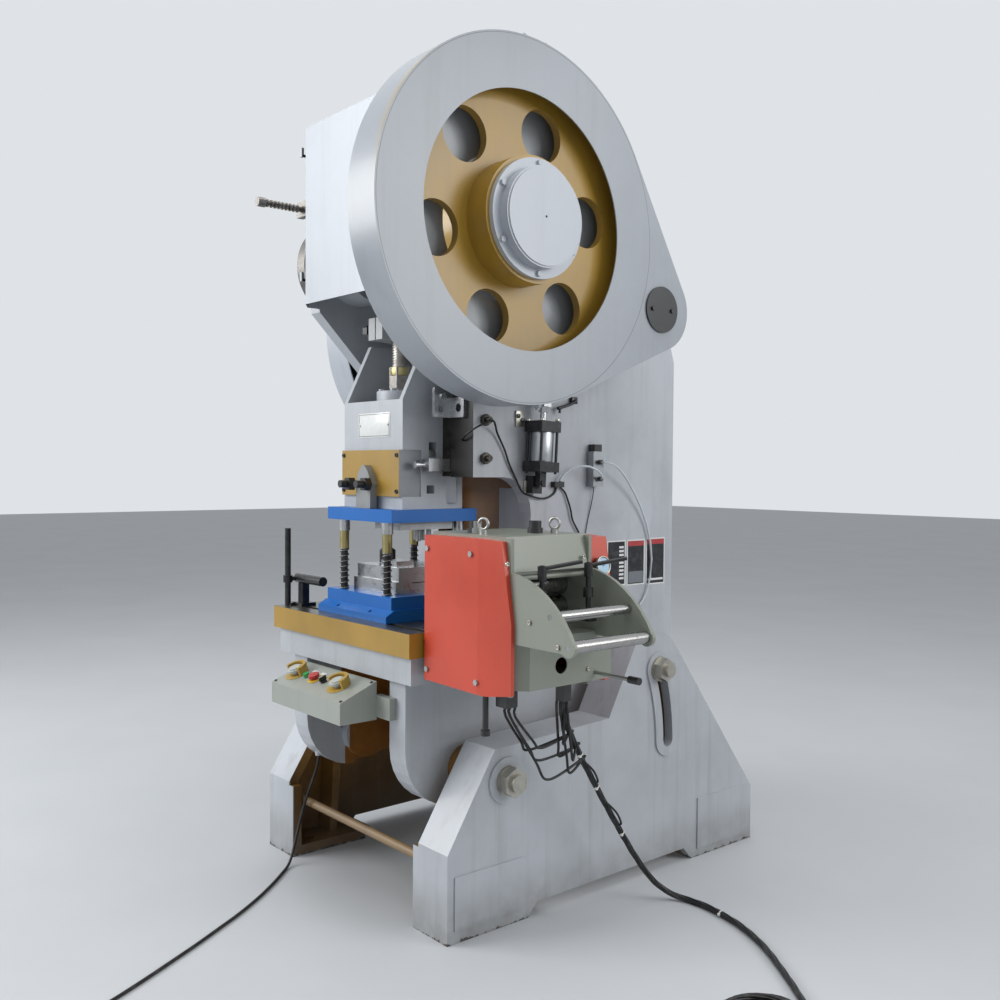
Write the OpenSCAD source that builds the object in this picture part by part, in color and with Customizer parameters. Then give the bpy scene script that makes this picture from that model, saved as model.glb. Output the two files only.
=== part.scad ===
// Mechanical stamping press: an open-back inclinable C-frame power press with one crank,
// a strip feeder on its right end and a post die set on its bolster.
// The front of the machine faces -Y, +X is the operator's right and Z = 0 is the floor.
// The origin lies on the floor at the centre of the four foundation bolts.
// Pieces are drawn from the point on the floor under the slide's centre line (y = 0 there).

/* [Legs] */
// Half the distance between the outer faces of the two legs
leg_out = 560; // [540:5:600]
// Width of a leg casting across the machine
leg_w = 150; // [130:5:165]
// Wall of the outer plate of a leg
leg_plate = 30; // [20:1:40]
// Rim that runs round the edge of a leg
leg_rim = 36; // [25:1:45]
// Length of a leg along the floor
leg_len = 1500; // [1450:10:1560]
// Distance from the slide's centre line to the front of the feet
foot_front = 216; // [200:2:240]
// Height of the low ledge of a leg
ledge_h = 569; // [540:5:590]
// Height of the high rear shoulder of a leg
shoulder_h = 846; // [820:2:870]
// Height of the arch between the feet
arch_h = 42; // [20:1:60]
// Radius of the foundation bolt holes
foundation_r = 15; // [10:1:20]
// Diameter of the tie rods between the legs
tie_d = 30; // [20:1:40]

/* [Tilt] */
// Height of the pivot that the body tilts on
pivot_z = 465; // [455:1:475]
// Distance of the pivot behind the slide's centre line
pivot_y = 17; // [10:1:30]
// Diameter of the pivot bolts
pivot_d = 56; // [40:2:64]
// Radius of the arc slots about the pivot
slot_r = 760; // [745:1:775]
// Angle of the lock bolts above the pivot when the body stands upright
lock_angle = 20.7; // [20:0.1:21.5]
// Angle that the body can be tilted back
tilt_max = 20; // [15:1:20]
// Diameter of the lock bolts
lock_d = 46; // [36:2:50]

/* [Body] */
// Half width of the body casting
body_half = 350; // [340:2:352]
// Thickness of the body's side plates
side_t = 60; // [45:1:75]
// Height of the table that carries the bolster
table_z = 858; // [840:2:870]
// Thickness of the table's lip
table_t = 87; // [75:1:100]
// Half width of the table
table_half = 414; // [405:1:425]
// Distance from the slide's centre line to the back of the throat
throat = 298; // [280:2:310]
// Height of the underside of the slide's guide housing
guide_z = 1415; // [1400:1:1440]
// Height of the crankshaft
crank_z = 2190; // [2180:2:2200]
// Distance of the back of the body behind the slide's centre line
back_y = 1040; // [1020:2:1060]

/* [Bolster] */
// Width of the bolster
bolster_w = 860; // [840:2:880]
// Depth of the bolster
bolster_d = 560; // [540:2:564]
// Thickness of the bolster
bolster_t = 78; // [70:1:90]
// Width of the T-slots at the bolster's top
tslot_w = 22; // [16:1:28]

/* [Drive] */
// Half of the slide's stroke
crank_throw = 50; // [45:1:55]
// Radius of the crankshaft's main journals
journal_r = 80; // [70:1:90]
// Radius of the crankpin
pin_r = 95; // [85:1:100]
// Module of the gear teeth
gear_m = 10; // [10:10]
// Teeth of the large gear
gear_z = 105; // [105:105]
// Teeth of the pinion
pinion_z = 23; // [23:23]
// Width of the teeth of the large gear
gear_w = 100; // [80:2:104]
// Distance of the web's outer face from the middle of the machine
web_x = 600; // [596:1:604]
// Radius of the circle of the web's holes
web_hole_pcr = 307; // [300:1:312]
// Radius of the web's holes
web_hole_r = 82; // [70:1:86]
// Radius of the large gear's hub
hub_r = 190; // [180:1:196]
// Running clearance of the shafts, on the radius
run_gap = 0.05; // [0.03:0.01:0.08]
// Gap between faces that turn or slide past each other
face_gap = 0.3; // [0.2:0.1:0.5]
// Radius of the flywheel
flywheel_r = 480; // [460:2:490]
// Width of the flywheel's rim
flywheel_w = 100; // [80:2:104]
// Radius of the drive shaft at its bearings
shaft_r = 45; // [40:1:50]
// Radius of the motor pulley
motor_pulley_r = 96; // [80:1:110]

/* [Guards] */
// Outer radius of the gear guard
guard_r = 552; // [548:1:556]
// Radius of the round opening of the gear guard
guard_open_r = 389; // [380:1:395]
// Distance of the gear guard's outer face from the middle
guard_x = 660; // [658:1:664]
// Depth of the gear guard
guard_depth = 135; // [130:1:138]
// Thickness of the sheet metal
sheet_t = 4; // [2:0.5:5]
// Outer radius of the flywheel guard
fly_guard_r = 540; // [530:1:550]

/* [Slide] */
// Half width of the slide
ram_half = 180; // [176:1:182]
// Distance of the slide's front face in front of its centre line
ram_front = 122; // [116:1:126]
// Distance of the slide's back face behind its centre line
ram_back = 130; // [124:1:136]
// Height of the slide's underside at the top of its stroke
ram_z = 1306; // [1300:1:1312]
// Height of the slide's clamp plate
clamp_h = 157; // [150:1:160]
// Radius of the die shank
shank_r = 30; // [25:1:32]

/* [Die set] */
// Half width of the die shoes
shoe_half = 200; // [190:1:205]
// Depth of the die shoes
shoe_d = 356; // [340:1:366]
// Thickness of the upper shoe
upper_shoe_t = 43; // [36:1:48]
// Radius of the guide posts
post_r = 12.5; // [10:0.5:14]
// Distance of the guide posts from the middle
post_x = 134; // [130:1:140]

/* [Feeder] */
// Gap between the bolster's end and the feeder's back end
feed_gap = 15; // [10:1:20]
// Length of the feeder's covers
feed_len = 385; // [380:1:390]
// Height of the feeder's underside
feed_z = 796; // [790:1:800]
// Height of the feeder
feed_h = 450; // [440:1:460]
// Thickness of the feeder's side plates
feed_plate = 12; // [8:1:16]
// Radius of the feeder's end roller
end_roller_r = 18; // [14:1:20]
// Radius of the lower feed roll
feed_roll_r = 35; // [30:1:38]

/* [Hidden] */

$fn = 64;
grey = "#c3c8cb";
ochre = "#c08a25";
steel = "#b4b6b8";
black = "#26282a";
orange = "#d8553a";
feeder_grey = "#8f9488";
die_blue = "#1c5fc4";
slide_y = foot_front - leg_len / 2;   // places the slide's centre line in the frame
leg_in = leg_out - leg_w;
foot_rear = leg_len - foot_front;
bolster_z = table_z + bolster_t;
gear_r = gear_m * gear_z / 2;
pinion_r = gear_m * pinion_z / 2;
mesh_angle = -18.5;                    // the pinion lies this far below the gear, seen from +X
shaft_y = (gear_r + pinion_r) * cos(mesh_angle);
shaft_z = crank_z + (gear_r + pinion_r) * sin(mesh_angle);
gear_x = 542;                          // inner face of the gear's teeth
ram_top = 1880;                        // top of the slide
ball_z = 1600;                         // centre of the ball joint in the slide
pin_z = crank_z + crank_throw;         // centre of the crankpin at the top of the stroke
motor_y = shaft_y + 130;
motor_z = shaft_z + 610;
belt_x = -552;                         // middle of the belts and the flywheel's rim
lower_shoe_top = 1018;
shoe_bolt_y = shoe_d / 2 + 16;         // distance of the lower shoe's bolts from the middle
die_top = 1108;
punch_r = 9;
punch_places = [[36, 36], [74, 36], [112, 36], [112, -8]];   // in x, y
motor_shaft_r = 24;
post_y = 150;                          // distance of the guide posts from the middle, along Y
post_top = 1202;
bush_z = 1223;                         // underside of the guide bushes
bush_r = 20;
cage_r = 16.5;
cage_h = 62;
well_z = 1660;                         // floor of the well in the slide
rod_bottom = 1884;
screw_r = 36;
clamp_back = 46;                       // depth of the seat of the clamp plate
boss_w = 44;
vee_y = 84;                            // crest of the slide's V ridges
crown_z = crank_z + 400;
cover_top = 2632;
cover_bottom = 2018;
guard_end_r = 136;
drum_r = 168;
drum_out = -body_half - 80;            // outer and inner faces of the brake drum
drum_in = -body_half - 22;
gear_hub_x = 480;                      // inner face of the large gear's hub
box_front = -386;                      // front edge of the control box
box_z = 702;
panel_slope = 21.9;
palm_x = [-168, 106];
button_x = [-100, -45, 12];
cyl_x = body_half + 52;                // middle of the clutch's air cylinder
cyl_y = 300;
cyl_z = 1520;
cyl_lean = -3;
feed_x = 445;                          // back end of the feeder as it is drawn
feed_mid = -30;                        // middle of the feeder's rolls, along Y
feed_half = 160;                       // half the distance over the feeder's side plates
feed_line = 1056;                      // height of the strip
guide_bar = [868, 1014];               // bar of the width guides, in x, z
guide_bar_r = 10;
// Places of the lower and upper feed rolls, the end roller and the entry roller, in x, z
roll_places = [[690, feed_line - feed_roll_r], [690, feed_line + feed_roll_r + 0.6], [1044, 968],
  [975, 1042]];
// Routes of the two free cables, in the frame's own coordinates
feeder_cord_r = 10;
feeder_route = [[760, -470, 744], [757, -464, 715], [750, -448, 680], [742, -422, 640], [735, -392, 596],
  [729, -360, 550], [724, -326, 502], [720, -290, 452], [717, -254, 400], [715, -216, 346],
  [714, -178, 292], [714, -140, 238], [715, -102, 185], [718, -66, 136], [725, -32, 92],
  [738, 2, 54], [758, 34, 27], [786, 58, 13], [820, 70, 10], [868, 74, 10],
  [920, 70, 10], [975, 60, 10], [1035, 44, 10], [1095, 20, 10], [1160, -12, 10],
  [1225, -52, 10], [1290, -98, 10], [1350, -142, 10], [1405, -184, 10], [1452, -222, 10],
  [1491, -254, 10]];
feeder_coil_at = [1468.2, -400.8];
socket_front = 53;                     // front edge and underside of the socket over the cable
socket_z = 744.3;
control_cord_r = 5;
plug_r = 12;
control_route = [[-300, -690, 388], [-302, -690, 372], [-306, -692, 350], [-312, -696, 325], [-319, -702, 298],
  [-326, -709, 270], [-333, -717, 240], [-338, -725, 210], [-341, -733, 180], [-342, -741, 150],
  [-341, -750, 120], [-338, -760, 90], [-333, -771, 62], [-325, -784, 36], [-313, -800, 16],
  [-297, -819, 7], [-277, -841, 5], [-252, -868, 5], [-224, -898, 5], [-194, -932, 5],
  [-162, -970, 5], [-128, -1012, 5], [-94, -1058, 5], [-60, -1106, 5], [-26, -1158, 5],
  [8, -1214, 5], [44, -1274, 5], [82, -1338, 5], [120, -1406, 5], [160, -1478, 5],
  [200, -1552, 5], [236, -1622, 5], [262, -1676, 5]];
control_coil_at = [336.1, -1681.9];
// Tubes that the body holds, drawn from the slide's centre line and from the body's right side
air_route = [[46, 592, 1470], [58, 596, 1470], [66, 612, 1468], [66, 640, 1462], [58, 672, 1450],
  [47, 710, 1428], [36, 752, 1396], [26, 798, 1352], [18, 842, 1298], [13, 878, 1238], [11, 902, 1170],
  [10, 912, 1100], [10, 904, 1032], [9.4, 884, 974], [7, 862, 942], [5.4, 852, 932]];
clutch_route = [[46, 592, 1410], [59, 589, 1414], [66, 577, 1426], [64, 556, 1442], [56, 526, 1454],
  [45, 492, 1456], [33, 460, 1446], [25, 434, 1428], [20, 420, 1410], [18, 416, 1394]];

// Moves what is drawn from the slide's centre line into the frame
module at_slide() {
  translate([0, slide_y, 0]) children();
}

// Sets the feeder against the bolster's right end
module at_feeder() {
  at_slide() translate([bolster_w / 2 + feed_gap - feed_x, 0, 0]) children();
}

// A cylinder along +X from x0 to x1 at y, z
module rod_x(x0, x1, y, z, r) {
  translate([x0, y, z]) rotate([0, 90, 0]) cylinder(h = x1 - x0, r = r);
}

// A cylinder along +Y from y0 to y1 at x, z
module rod_y(y0, y1, x, z, r) {
  translate([x, y0, z]) rotate([-90, 0, 0]) cylinder(h = y1 - y0, r = r);
}

// A plate whose outline is given in y, z, from x0 to x1
module slab_x(x0, x1, outline) {
  translate([x0, 0, 0]) rotate([90, 0, 90]) linear_extrude(x1 - x0) polygon(outline);
}

// A plate whose outline is given in x, z, from y0 to y1
module slab_y(y0, y1, outline) {
  translate([0, y1, 0]) rotate([90, 0, 0]) linear_extrude(y1 - y0) polygon(outline);
}

// A block between two corners
module block(low, high) {
  translate(low) cube(high - low);
}

// A hexagon head or nut along X
module hex_x(x0, x1, y, z, across) {
  translate([x0, y, z]) rotate([0, 90, 0]) cylinder(h = x1 - x0, r = across / sqrt(3), $fn = 6);
}

// A hexagon head or nut along Y
module hex_y(y0, y1, x, z, across) {
  translate([x, y0, z]) rotate([-90, 0, 0]) cylinder(h = y1 - y0, r = across / sqrt(3), $fn = 6);
}

// Points of an arc
function arc(c, r, a0, a1, n) =
  [for (i = [0 : n]) let (a = a0 + (a1 - a0) * i / n) c + r * [cos(a), sin(a)]];

// Copies on both sides of the machine
module both_sides() {
  children();
  mirror([1, 0, 0]) children();
}

// Outline of a leg in y, z, set in from its edge by d
function leg_outline(d) = [
  [-foot_front + d, d * 0.9],
  [-foot_front + d, 275 - d * 0.3],
  [-32 + d * 0.6, ledge_h - d],
  [478 + d * 0.2, ledge_h + 22 - d],
  [616 + d * 0.6, shoulder_h - d * 0.9],
  [650 + d * 0.3, shoulder_h + 8 - d],
  [770 - d * 0.4, shoulder_h + 8 - d],
  [800 - d * 0.7, shoulder_h - 10 - d * 0.8],
  [foot_rear - d, 205 - d * 0.5],
  [foot_rear - d, d * 0.9]];

// An arc-shaped bar about the pivot, between two angles, from x0 to x1
module pivot_arc(x0, x1, width, a0, a1) {
  translate([x0, pivot_y, pivot_z]) rotate([90, 0, 90]) linear_extrude(x1 - x0) {
    intersection() {
      difference() {
        circle(r = slot_r + width / 2, $fn = 180);
        circle(r = slot_r - width / 2, $fn = 180);
      }
      polygon([[0, 0], 2 * slot_r * [cos(a0), sin(a0)], 2 * slot_r * [cos(a1), sin(a1)]]);
    }
    for (a = [a0, a1])
      rotate(a) translate([slot_r, 0]) circle(r = width / 2 - 0.2);
  }
}

module leg() {
  pocket_w = leg_w - leg_plate;
  foot_in = leg_in - 28;
  difference() {
    union() {
      difference() {
        slab_x(leg_in, leg_out, leg_outline(0));
        slab_x(leg_in - 1, leg_in + pocket_w, leg_outline(leg_rim));
      }
      for (y = [[-foot_front, 100], [foot_rear - 330, foot_rear]])
        block([foot_in, y[0], 0], [leg_in + pocket_w + 1, y[1], leg_rim]);
      block([foot_in, -foot_front, 0], [leg_in + 1, -foot_front + leg_rim, 262]);
      rod_x(body_half + face_gap + 0.7, leg_out + 7, pivot_y, pivot_z, 74);
      pivot_arc(leg_in + 60, leg_out + 7, 124, lock_angle - tilt_max, lock_angle);
      // ribs from the pivot boss to the feet
      slab_x(leg_in + 30, leg_out - 1, [[-24, 30], [6, 30], [36, 440], [0, 440]]);
      slab_x(leg_in + 30, leg_out - 1, [[560, 60], [590, 60], [610, 800], [580, 780]]);
      // raised panels on the outside of the feet
      block([leg_out - 1, -foot_front + 26, 40], [leg_out + 5, 90, 205]);
      block([leg_out - 1, foot_rear - 330, 30], [leg_out + 5, foot_rear - 30, 220]);
    }
    rod_x(body_half, leg_out + 20, pivot_y, pivot_z, pivot_d / 2 + 0.5);
    pivot_arc(leg_in - 1, leg_out + 20, lock_d + 4, lock_angle - tilt_max - 0.3, lock_angle + 0.3);
    slab_x(leg_in - 50, leg_out + 20, [[110, -1], [150, arch_h], [880, arch_h + 6], [925, -1]]);
    for (y = [-foot_front + 106, foot_rear - 106])
      translate([leg_in + 30, y, -1]) cylinder(h = leg_rim + 20, r = foundation_r);
  }
}

module leg_right() {
  color(grey) at_slide() leg();
}

module leg_left() {
  color(grey) at_slide() mirror([1, 0, 0]) leg();
}

module tie_rods() {
  color("#b08a5a") at_slide() {
    tie_half = leg_out - leg_plate - face_gap;
    for (p = [[leg_rim - foot_front + tie_d * 0.6 + 4, 200], [foot_rear - leg_rim - 68, 215]]) {
      rod_x(-tie_half, tie_half, p[0], p[1], tie_d / 2);
      both_sides() hex_x(tie_half - 40, tie_half - 14, p[0], p[1], tie_d * 1.2);
    }
  }
}

module pivot_bolts() {
  color(steel) at_slide() both_sides() {
    rod_x(body_half - 110, leg_out + 62, pivot_y, pivot_z, pivot_d / 2);
    rod_x(leg_out + 7 + face_gap, leg_out + 15, pivot_y, pivot_z, pivot_d * 0.86);
    hex_x(leg_out + 14, leg_out + 48, pivot_y, pivot_z, pivot_d * 1.5);
  }
}

// Outline of the body's side plates in y, z
function body_slope_z(y) = 2255 + (back_y - 270 - y) * (crown_z - 2255) / (back_y - 700);
function body_outline() = concat(
  arc([-25, 545], 200, 180, 270, 8),
  [[back_y, 480], [back_y, 1860], [back_y - 26, 1935], [back_y - 270, 2255], [430, crown_z],
   [-130, crown_z], [-160, crown_z - 40], [-160, crank_z - 185], [42, 1800], [42, guide_z]],
  arc([throat - 122, guide_z - 122], 122, 90, 0, 6),
  [[throat, table_z - 1], [-225, table_z - 1]]);

module body_frame() {
  inner = body_half - side_t;
  color(grey) at_slide() difference() {
    union() {
      both_sides() {
        slab_x(inner, body_half, body_outline());
        // thick front edges of the lower cheeks
        slab_x(body_half - 88, body_half, concat(arc([-25, 545], 200, 180, 270, 8),
          [[-25, 420], [-150, 560], [-150, table_z - 1], [-225, table_z - 1]]));
        // front edge of the throat
        block([180, throat, table_z - 1], [inner + 1, throat + 42, guide_z - 40]);
        // guide housing beside the slide
        block([230, 42, guide_z], [inner + 1, 230, 1860]);
        // bosses of the tilt pivot
        rod_x(inner - 60, body_half, pivot_y, pivot_z, 96);
        // bosses of the lock bolts
        rod_x(inner - 30, body_half, pivot_y + slot_r * cos(lock_angle),
          pivot_z + slot_r * sin(lock_angle), 80);
        // drive shaft bearing housings
        rod_x(inner - 1, body_half + 60, shaft_y, shaft_z, 110);
      }
      // main bearing housings, the left one shorter for the brake
      rod_x(150, gear_hub_x - 10, 0, crank_z, 150);
      rod_x(-body_half - 14, -150, 0, crank_z, 150);
      // gland of the control cable under the left cheek
      translate([50 - body_half, -156, 389]) cylinder(h = 40, r = 12);
      // table
      block([-table_half, -250, table_z - table_t], [table_half, throat + 20, table_z]);
      // walls across the body
      block([-inner - 1, throat + 80, 560], [inner + 1, throat + 116, guide_z + 60]);
      block([-inner - 1, 230, guide_z], [inner + 1, 266, 1900]);
      block([-inner - 1, back_y - 40, 500], [inner + 1, back_y, 620]);
      block([-inner - 1, back_y - 40, 1500], [inner + 1, back_y, 1860]);
      block([-inner - 1, -128, crown_z - 38], [inner + 1, 430, crown_z]);
      slab_x(-inner - 1, inner + 1, [[120, 420], [160, 420], [200, 700], [200, table_z - 40], [160, table_z - 40]]);
    }
    // bores
    rod_x(-480, 480, 0, crank_z, journal_r + 22);
    rod_x(-420, 420, shaft_y, shaft_z, shaft_r + 35);
    both_sides() {
      rod_x(body_half - 112, body_half + 1, pivot_y, pivot_z, pivot_d / 2 + run_gap);
      rod_x(inner - 31, body_half + 1, pivot_y + slot_r * cos(lock_angle),
        pivot_z + slot_r * sin(lock_angle), lock_d / 2 + run_gap);
      // gib screws
      for (z = [1478, 1605]) rod_x(229, body_half + 1, 88, z, 10.2);
    }
    // drop hole through the table
    block([-130, -90, table_z - table_t - 1], [130, 90, table_z + 1]);
  }
}

module bolster() {
  color(ochre) at_slide() difference() {
    block([-bolster_w / 2, -bolster_d / 2 + 12, table_z + face_gap],
      [bolster_w / 2, bolster_d / 2 + 12, bolster_z]);
    translate([0, 0, table_z - 1]) cylinder(h = bolster_t + 2, r = 70);
    // T-slots along the press, below the holes in the die shoe's edges
    for (y = shoe_bolt_y * [-1, 1]) {
      block([-bolster_w, y - tslot_w / 2, bolster_z - 40], [bolster_w, y + tslot_w / 2, bolster_z + 1]);
      block([-bolster_w, y - tslot_w * 0.9, bolster_z - 40], [bolster_w, y + tslot_w * 0.9, bolster_z - 22]);
    }
  }
}

module gibs() {
  color(black) at_slide() both_sides() {
    difference() {
      block([ram_half + face_gap, 44, guide_z + 2], [229.7, 130, 1858]);
      translate([0, 0, guide_z]) linear_extrude(500)
        polygon([[ram_half - 1, 57], [ram_half + 24.4, vee_y], [ram_half - 1, 111]]);
    }
    for (z = [1478, 1605]) {
      rod_x(229.7, body_half + 34, 88, z, 10);
      hex_x(body_half + face_gap, body_half + 18, 88, z, 34);
    }
  }
}

module lock_bolts() {
  y = pivot_y + slot_r * cos(lock_angle);
  z = pivot_z + slot_r * sin(lock_angle);
  color(steel) at_slide() both_sides() {
    rod_x(body_half - 88, leg_out + 64, y, z, lock_d / 2);
    rod_x(leg_out + 7 + face_gap, leg_out + 15, y, z, 44);
    hex_x(leg_out + 14, leg_out + 46, y, z, 72);
  }
}

// A bush along X
module bush_x(x0, x1, y, z, r_out, r_in) {
  difference() {
    rod_x(x0, x1, y, z, r_out);
    rod_x(x0 - 1, x1 + 1, y, z, r_in);
  }
}

module bearings() {
  color("#b08d4a") at_slide() {
    for (x = [[151, gear_hub_x - 12], [-body_half - 12, -151]])
      bush_x(x[0], x[1], 0, crank_z, journal_r + 21.95, journal_r + run_gap);
    both_sides() bush_x(body_half - side_t, body_half + 58, shaft_y, shaft_z, shaft_r + 34.95,
      shaft_r + run_gap);
  }
}

module crank_cover() {
  color(grey) at_slide() {
    difference() {
      translate([0, 0, cover_bottom]) linear_extrude(cover_top - cover_bottom) polygon([
        [-300, -205], [-235, -250], [235, -250], [300, -205], [300, -160.3], [-300, -160.3]]);
      translate([0, 0, cover_bottom - 1]) linear_extrude(cover_top - cover_bottom - sheet_t + 1)
        polygon([[-296, -203], [-233, -246], [233, -246], [296, -203], [296, -150], [-296, -150]]);
    }
    // lid over the crown, with its folded edges
    block([-300, -161, cover_top - sheet_t], [300, 60, cover_top]);
    both_sides() block([296, -161, crown_z + face_gap], [300, 60, cover_top - 1]);
    // toggle clamps on the left edge
    for (z = [cover_bottom + 90, cover_top - 88]) {
      rod_y(-244, -226, -266, z, 5);
      block([-272, -252, z - 6], [-260, -243, z + 26]);
    }
  }
}

// The loop round two circles, as a guard or a belt follows it, in y, z
module loop_shape(big, r_big, small, r_small, facets = 180) {
  span = small - big;
  tilt = atan2(span[1], span[0]);
  spread = acos((r_big - r_small) / norm(span));
  over = [cos(tilt + spread), sin(tilt + spread)];
  under = [cos(tilt - spread), sin(tilt - spread)];
  // the straight runs stand 0.1 inside the tangents, so that they cut the circles cleanly
  big_in = r_big - 0.1;
  small_in = r_small - 0.1;
  polygon([
    big, big + big_in * over, small + small_in * over,
    small, small + small_in * under, big + big_in * under]);
  translate(big) circle(r = r_big, $fn = facets);
  translate(small) circle(r = r_small);
}

module loop_prism(x0, x1, big, r_big, small, r_small) {
  translate([x0, 0, 0]) rotate([90, 0, 90])
    linear_extrude(x1 - x0) loop_shape(big, r_big, small, r_small);
}

// Turns what is drawn about the crankshaft's centre line
module at_crank(angle) {
  translate([0, 0, crank_z]) rotate([angle, 0, 0]) children();
}

module gear_guard() {
  back_x = guard_x - guard_depth;
  big = [0, crank_z];
  small = [shaft_y, shaft_z];
  color(grey) at_slide() {
    difference() {
      loop_prism(back_x, guard_x, big, guard_r, small, guard_end_r);
      loop_prism(back_x + sheet_t, guard_x - sheet_t, big, guard_r - sheet_t, small, guard_end_r - sheet_t);
      rod_x(guard_x - 20, guard_x + 1, 0, crank_z, guard_open_r);
      rod_x(back_x - 1, back_x + 20, 0, crank_z, hub_r + 34);
      rod_x(back_x - 1, back_x + 20, shaft_y, shaft_z, 90);
    }
    // stays to the body
    for (p = [[-100, 300], [300, 250], [300, -330], [520, -80], [20, -300]])
      rod_x(body_half + face_gap, back_x + 0.5, p[0], crank_z + p[1], 22);
    // cover disc over the pinion shaft's end, with two screws
    rod_x(guard_x - 0.5, guard_x + 6, shaft_y, shaft_z, 78);
    for (s = [-1, 1]) hex_x(guard_x + 5, guard_x + 12, shaft_y + s * 48, shaft_z, 14);
    // latches at the top and bottom of the rim
    for (a = [90, 81, 277]) at_crank(a) {
      rod_x(guard_x - 40, guard_x - 14, guard_r + 2, 0, 7);
      block([guard_x - 34, guard_r - 3, -4], [guard_x - 22, guard_r + 16, 4]);
    }
  }
}

module flywheel_guard() {
  x_in = -486;
  x_out = -624;
  color(grey) at_slide() {
    difference() {
      rod_x(x_out, x_in, shaft_y, shaft_z, fly_guard_r, $fn = 180);
      rod_x(x_out + sheet_t, x_in + 1, shaft_y, shaft_z, fly_guard_r - sheet_t, $fn = 180);
      rod_x(x_out - 1, x_in + 1, shaft_y, shaft_z, 120);
      // the belts leave through the top
      block([x_out + sheet_t, shaft_y - 330, shaft_z + 300],
        [x_in + 1, shaft_y + 520, shaft_z + 700]);
    }
    // brackets to the body
    for (p = [[-428, -305], [312, -424], [-400, 350]])
      block([x_in - 30, shaft_y + p[0] - 20, shaft_z + p[1] - 5],
        [-body_half - face_gap, shaft_y + p[0] + 20, shaft_z + p[1] + 5]);
  }
}

// Band round the brake drum, with the spring-loaded screw that tightens it
module band_brake() {
  lug_z = crank_z + 202;
  screw_x = (drum_out + drum_in) / 2;
  color(black) at_slide() {
    difference() {
      union() {
        rod_x(drum_out + 2, drum_in - 2, 0, crank_z, drum_r + 8);
        block([drum_out + 2, -54, crank_z + drum_r - 8], [drum_in - 2, -40.2, lug_z + 24]);
        block([drum_out + 2, -7.8, crank_z + drum_r - 1], [drum_in - 2, 6, lug_z + 24]);
      }
      rod_x(drum_out + 1, drum_in - 1, 0, crank_z, drum_r + face_gap);
      block([drum_out, -40.1, crank_z + 120], [drum_in + 2, -7.9, crank_z + 200]);
    }
    // bracket on the crown
    block([drum_out, -176, lug_z - 28], [-body_half - face_gap, -150, lug_z + 28]);
    rod_y(-330, 20, screw_x, lug_z, 9);
    rod_y(-352, -322, screw_x, lug_z, 17);
    hex_y(20, 34, screw_x, lug_z, 30);
    for (i = [0 : 8]) rod_y(-316 + i * 15, -309 + i * 15, screw_x, lug_z, 14);
  }
}

module motor() {
  foot_z = motor_z - 150;
  base_y = motor_y - 128;
  color("#5d6b74") at_slide() {
    difference() {
      rod_x(-345, 60, motor_y, motor_z, 112);
      rod_x(-346, -296, motor_y, motor_z, motor_shaft_r + run_gap);
    }
    for (i = [0 : 23])
      translate([-300, motor_y, motor_z]) rotate([15 * i, 0, 0]) translate([0, -3, 100]) cube([330, 6, 30]);
    // end shields, fan cowl and shaft
    bush_x(-345, -329, motor_y, motor_z, 128, 100);
    rod_x(59, 76, motor_y, motor_z, 128);
    rod_x(75, 140, motor_y, motor_z, 122);
    block([-170, motor_y - 60, motor_z + 118], [-50, motor_y + 60, motor_z + 178]);
    for (y = [-112, 72]) block([-280, motor_y + y, foot_z], [20, motor_y + y + 40, motor_z - 70]);
    // base plate and its supports on the body
    difference() {
      union() {
        block([5 - body_half, base_y, foot_z - 26], [body_half - 5, motor_y + 160, foot_z + 1]);
        both_sides() slab_x(body_half - 35, body_half - 5, [[base_y, foot_z - 20],
          [base_y, body_slope_z(base_y) + face_gap], [back_y - 270, body_slope_z(back_y - 270) + face_gap],
          [motor_y + 160, foot_z - 20]]);
      }
      for (x = [-200, -60]) block([x - 60, motor_y - 60, foot_z - 40], [x + 40, motor_y + 40, foot_z + 10]);
    }
  }
}

module drive_belts() {
  color(black) at_slide() for (i = [0 : 3]) let (x = belt_x - 42 + i * 24) difference() {
    loop_prism(x, x + 13, [shaft_y, shaft_z], flywheel_r, [motor_y, motor_z], motor_pulley_r);
    loop_prism(x - 1, x + 14, [shaft_y, shaft_z], flywheel_r - 9.7, [motor_y, motor_z], motor_pulley_r - 9.7);
  }
}

// Stops of the knock-out bar with their brass screws, and the sensor brackets above them
module stop_brackets() {
  color(steel) at_slide() {
    both_sides() {
      block([ram_half + 12, -48, 1434], [ram_half + 48, 43.7, 1476]);
      rod_y(-76, -47, ram_half + 26, 1455, 9);
      rod_y(-92, -75, ram_half + 26, 1455, 13);
    }
    // sensor bracket on the right, high on the guide housing
    difference() {
      union() {
        block([ram_half + 46, -36, 1614], [ram_half + 60, 41.7, 1712]);
        block([ram_half + 59, 27, 1614], [ram_half + 136, 41.7, 1680]);
      }
      rod_x(ram_half + 40, ram_half + 70, -10, 1640, 9);
      rod_x(ram_half + 40, ram_half + 70, -10, 1684, 12);
      rod_y(20, 50, ram_half + 108, 1646, 14);
    }
    rod_x(ram_half + 20, ram_half + 78, -10, 1684, 11.7);
  }
}

// Places what is drawn on the sloping top of the control box
module at_panel(x, d) {
  translate([x, box_front, box_z]) rotate([panel_slope, 0, 0]) translate([0, d, 0]) children();
}

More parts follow.
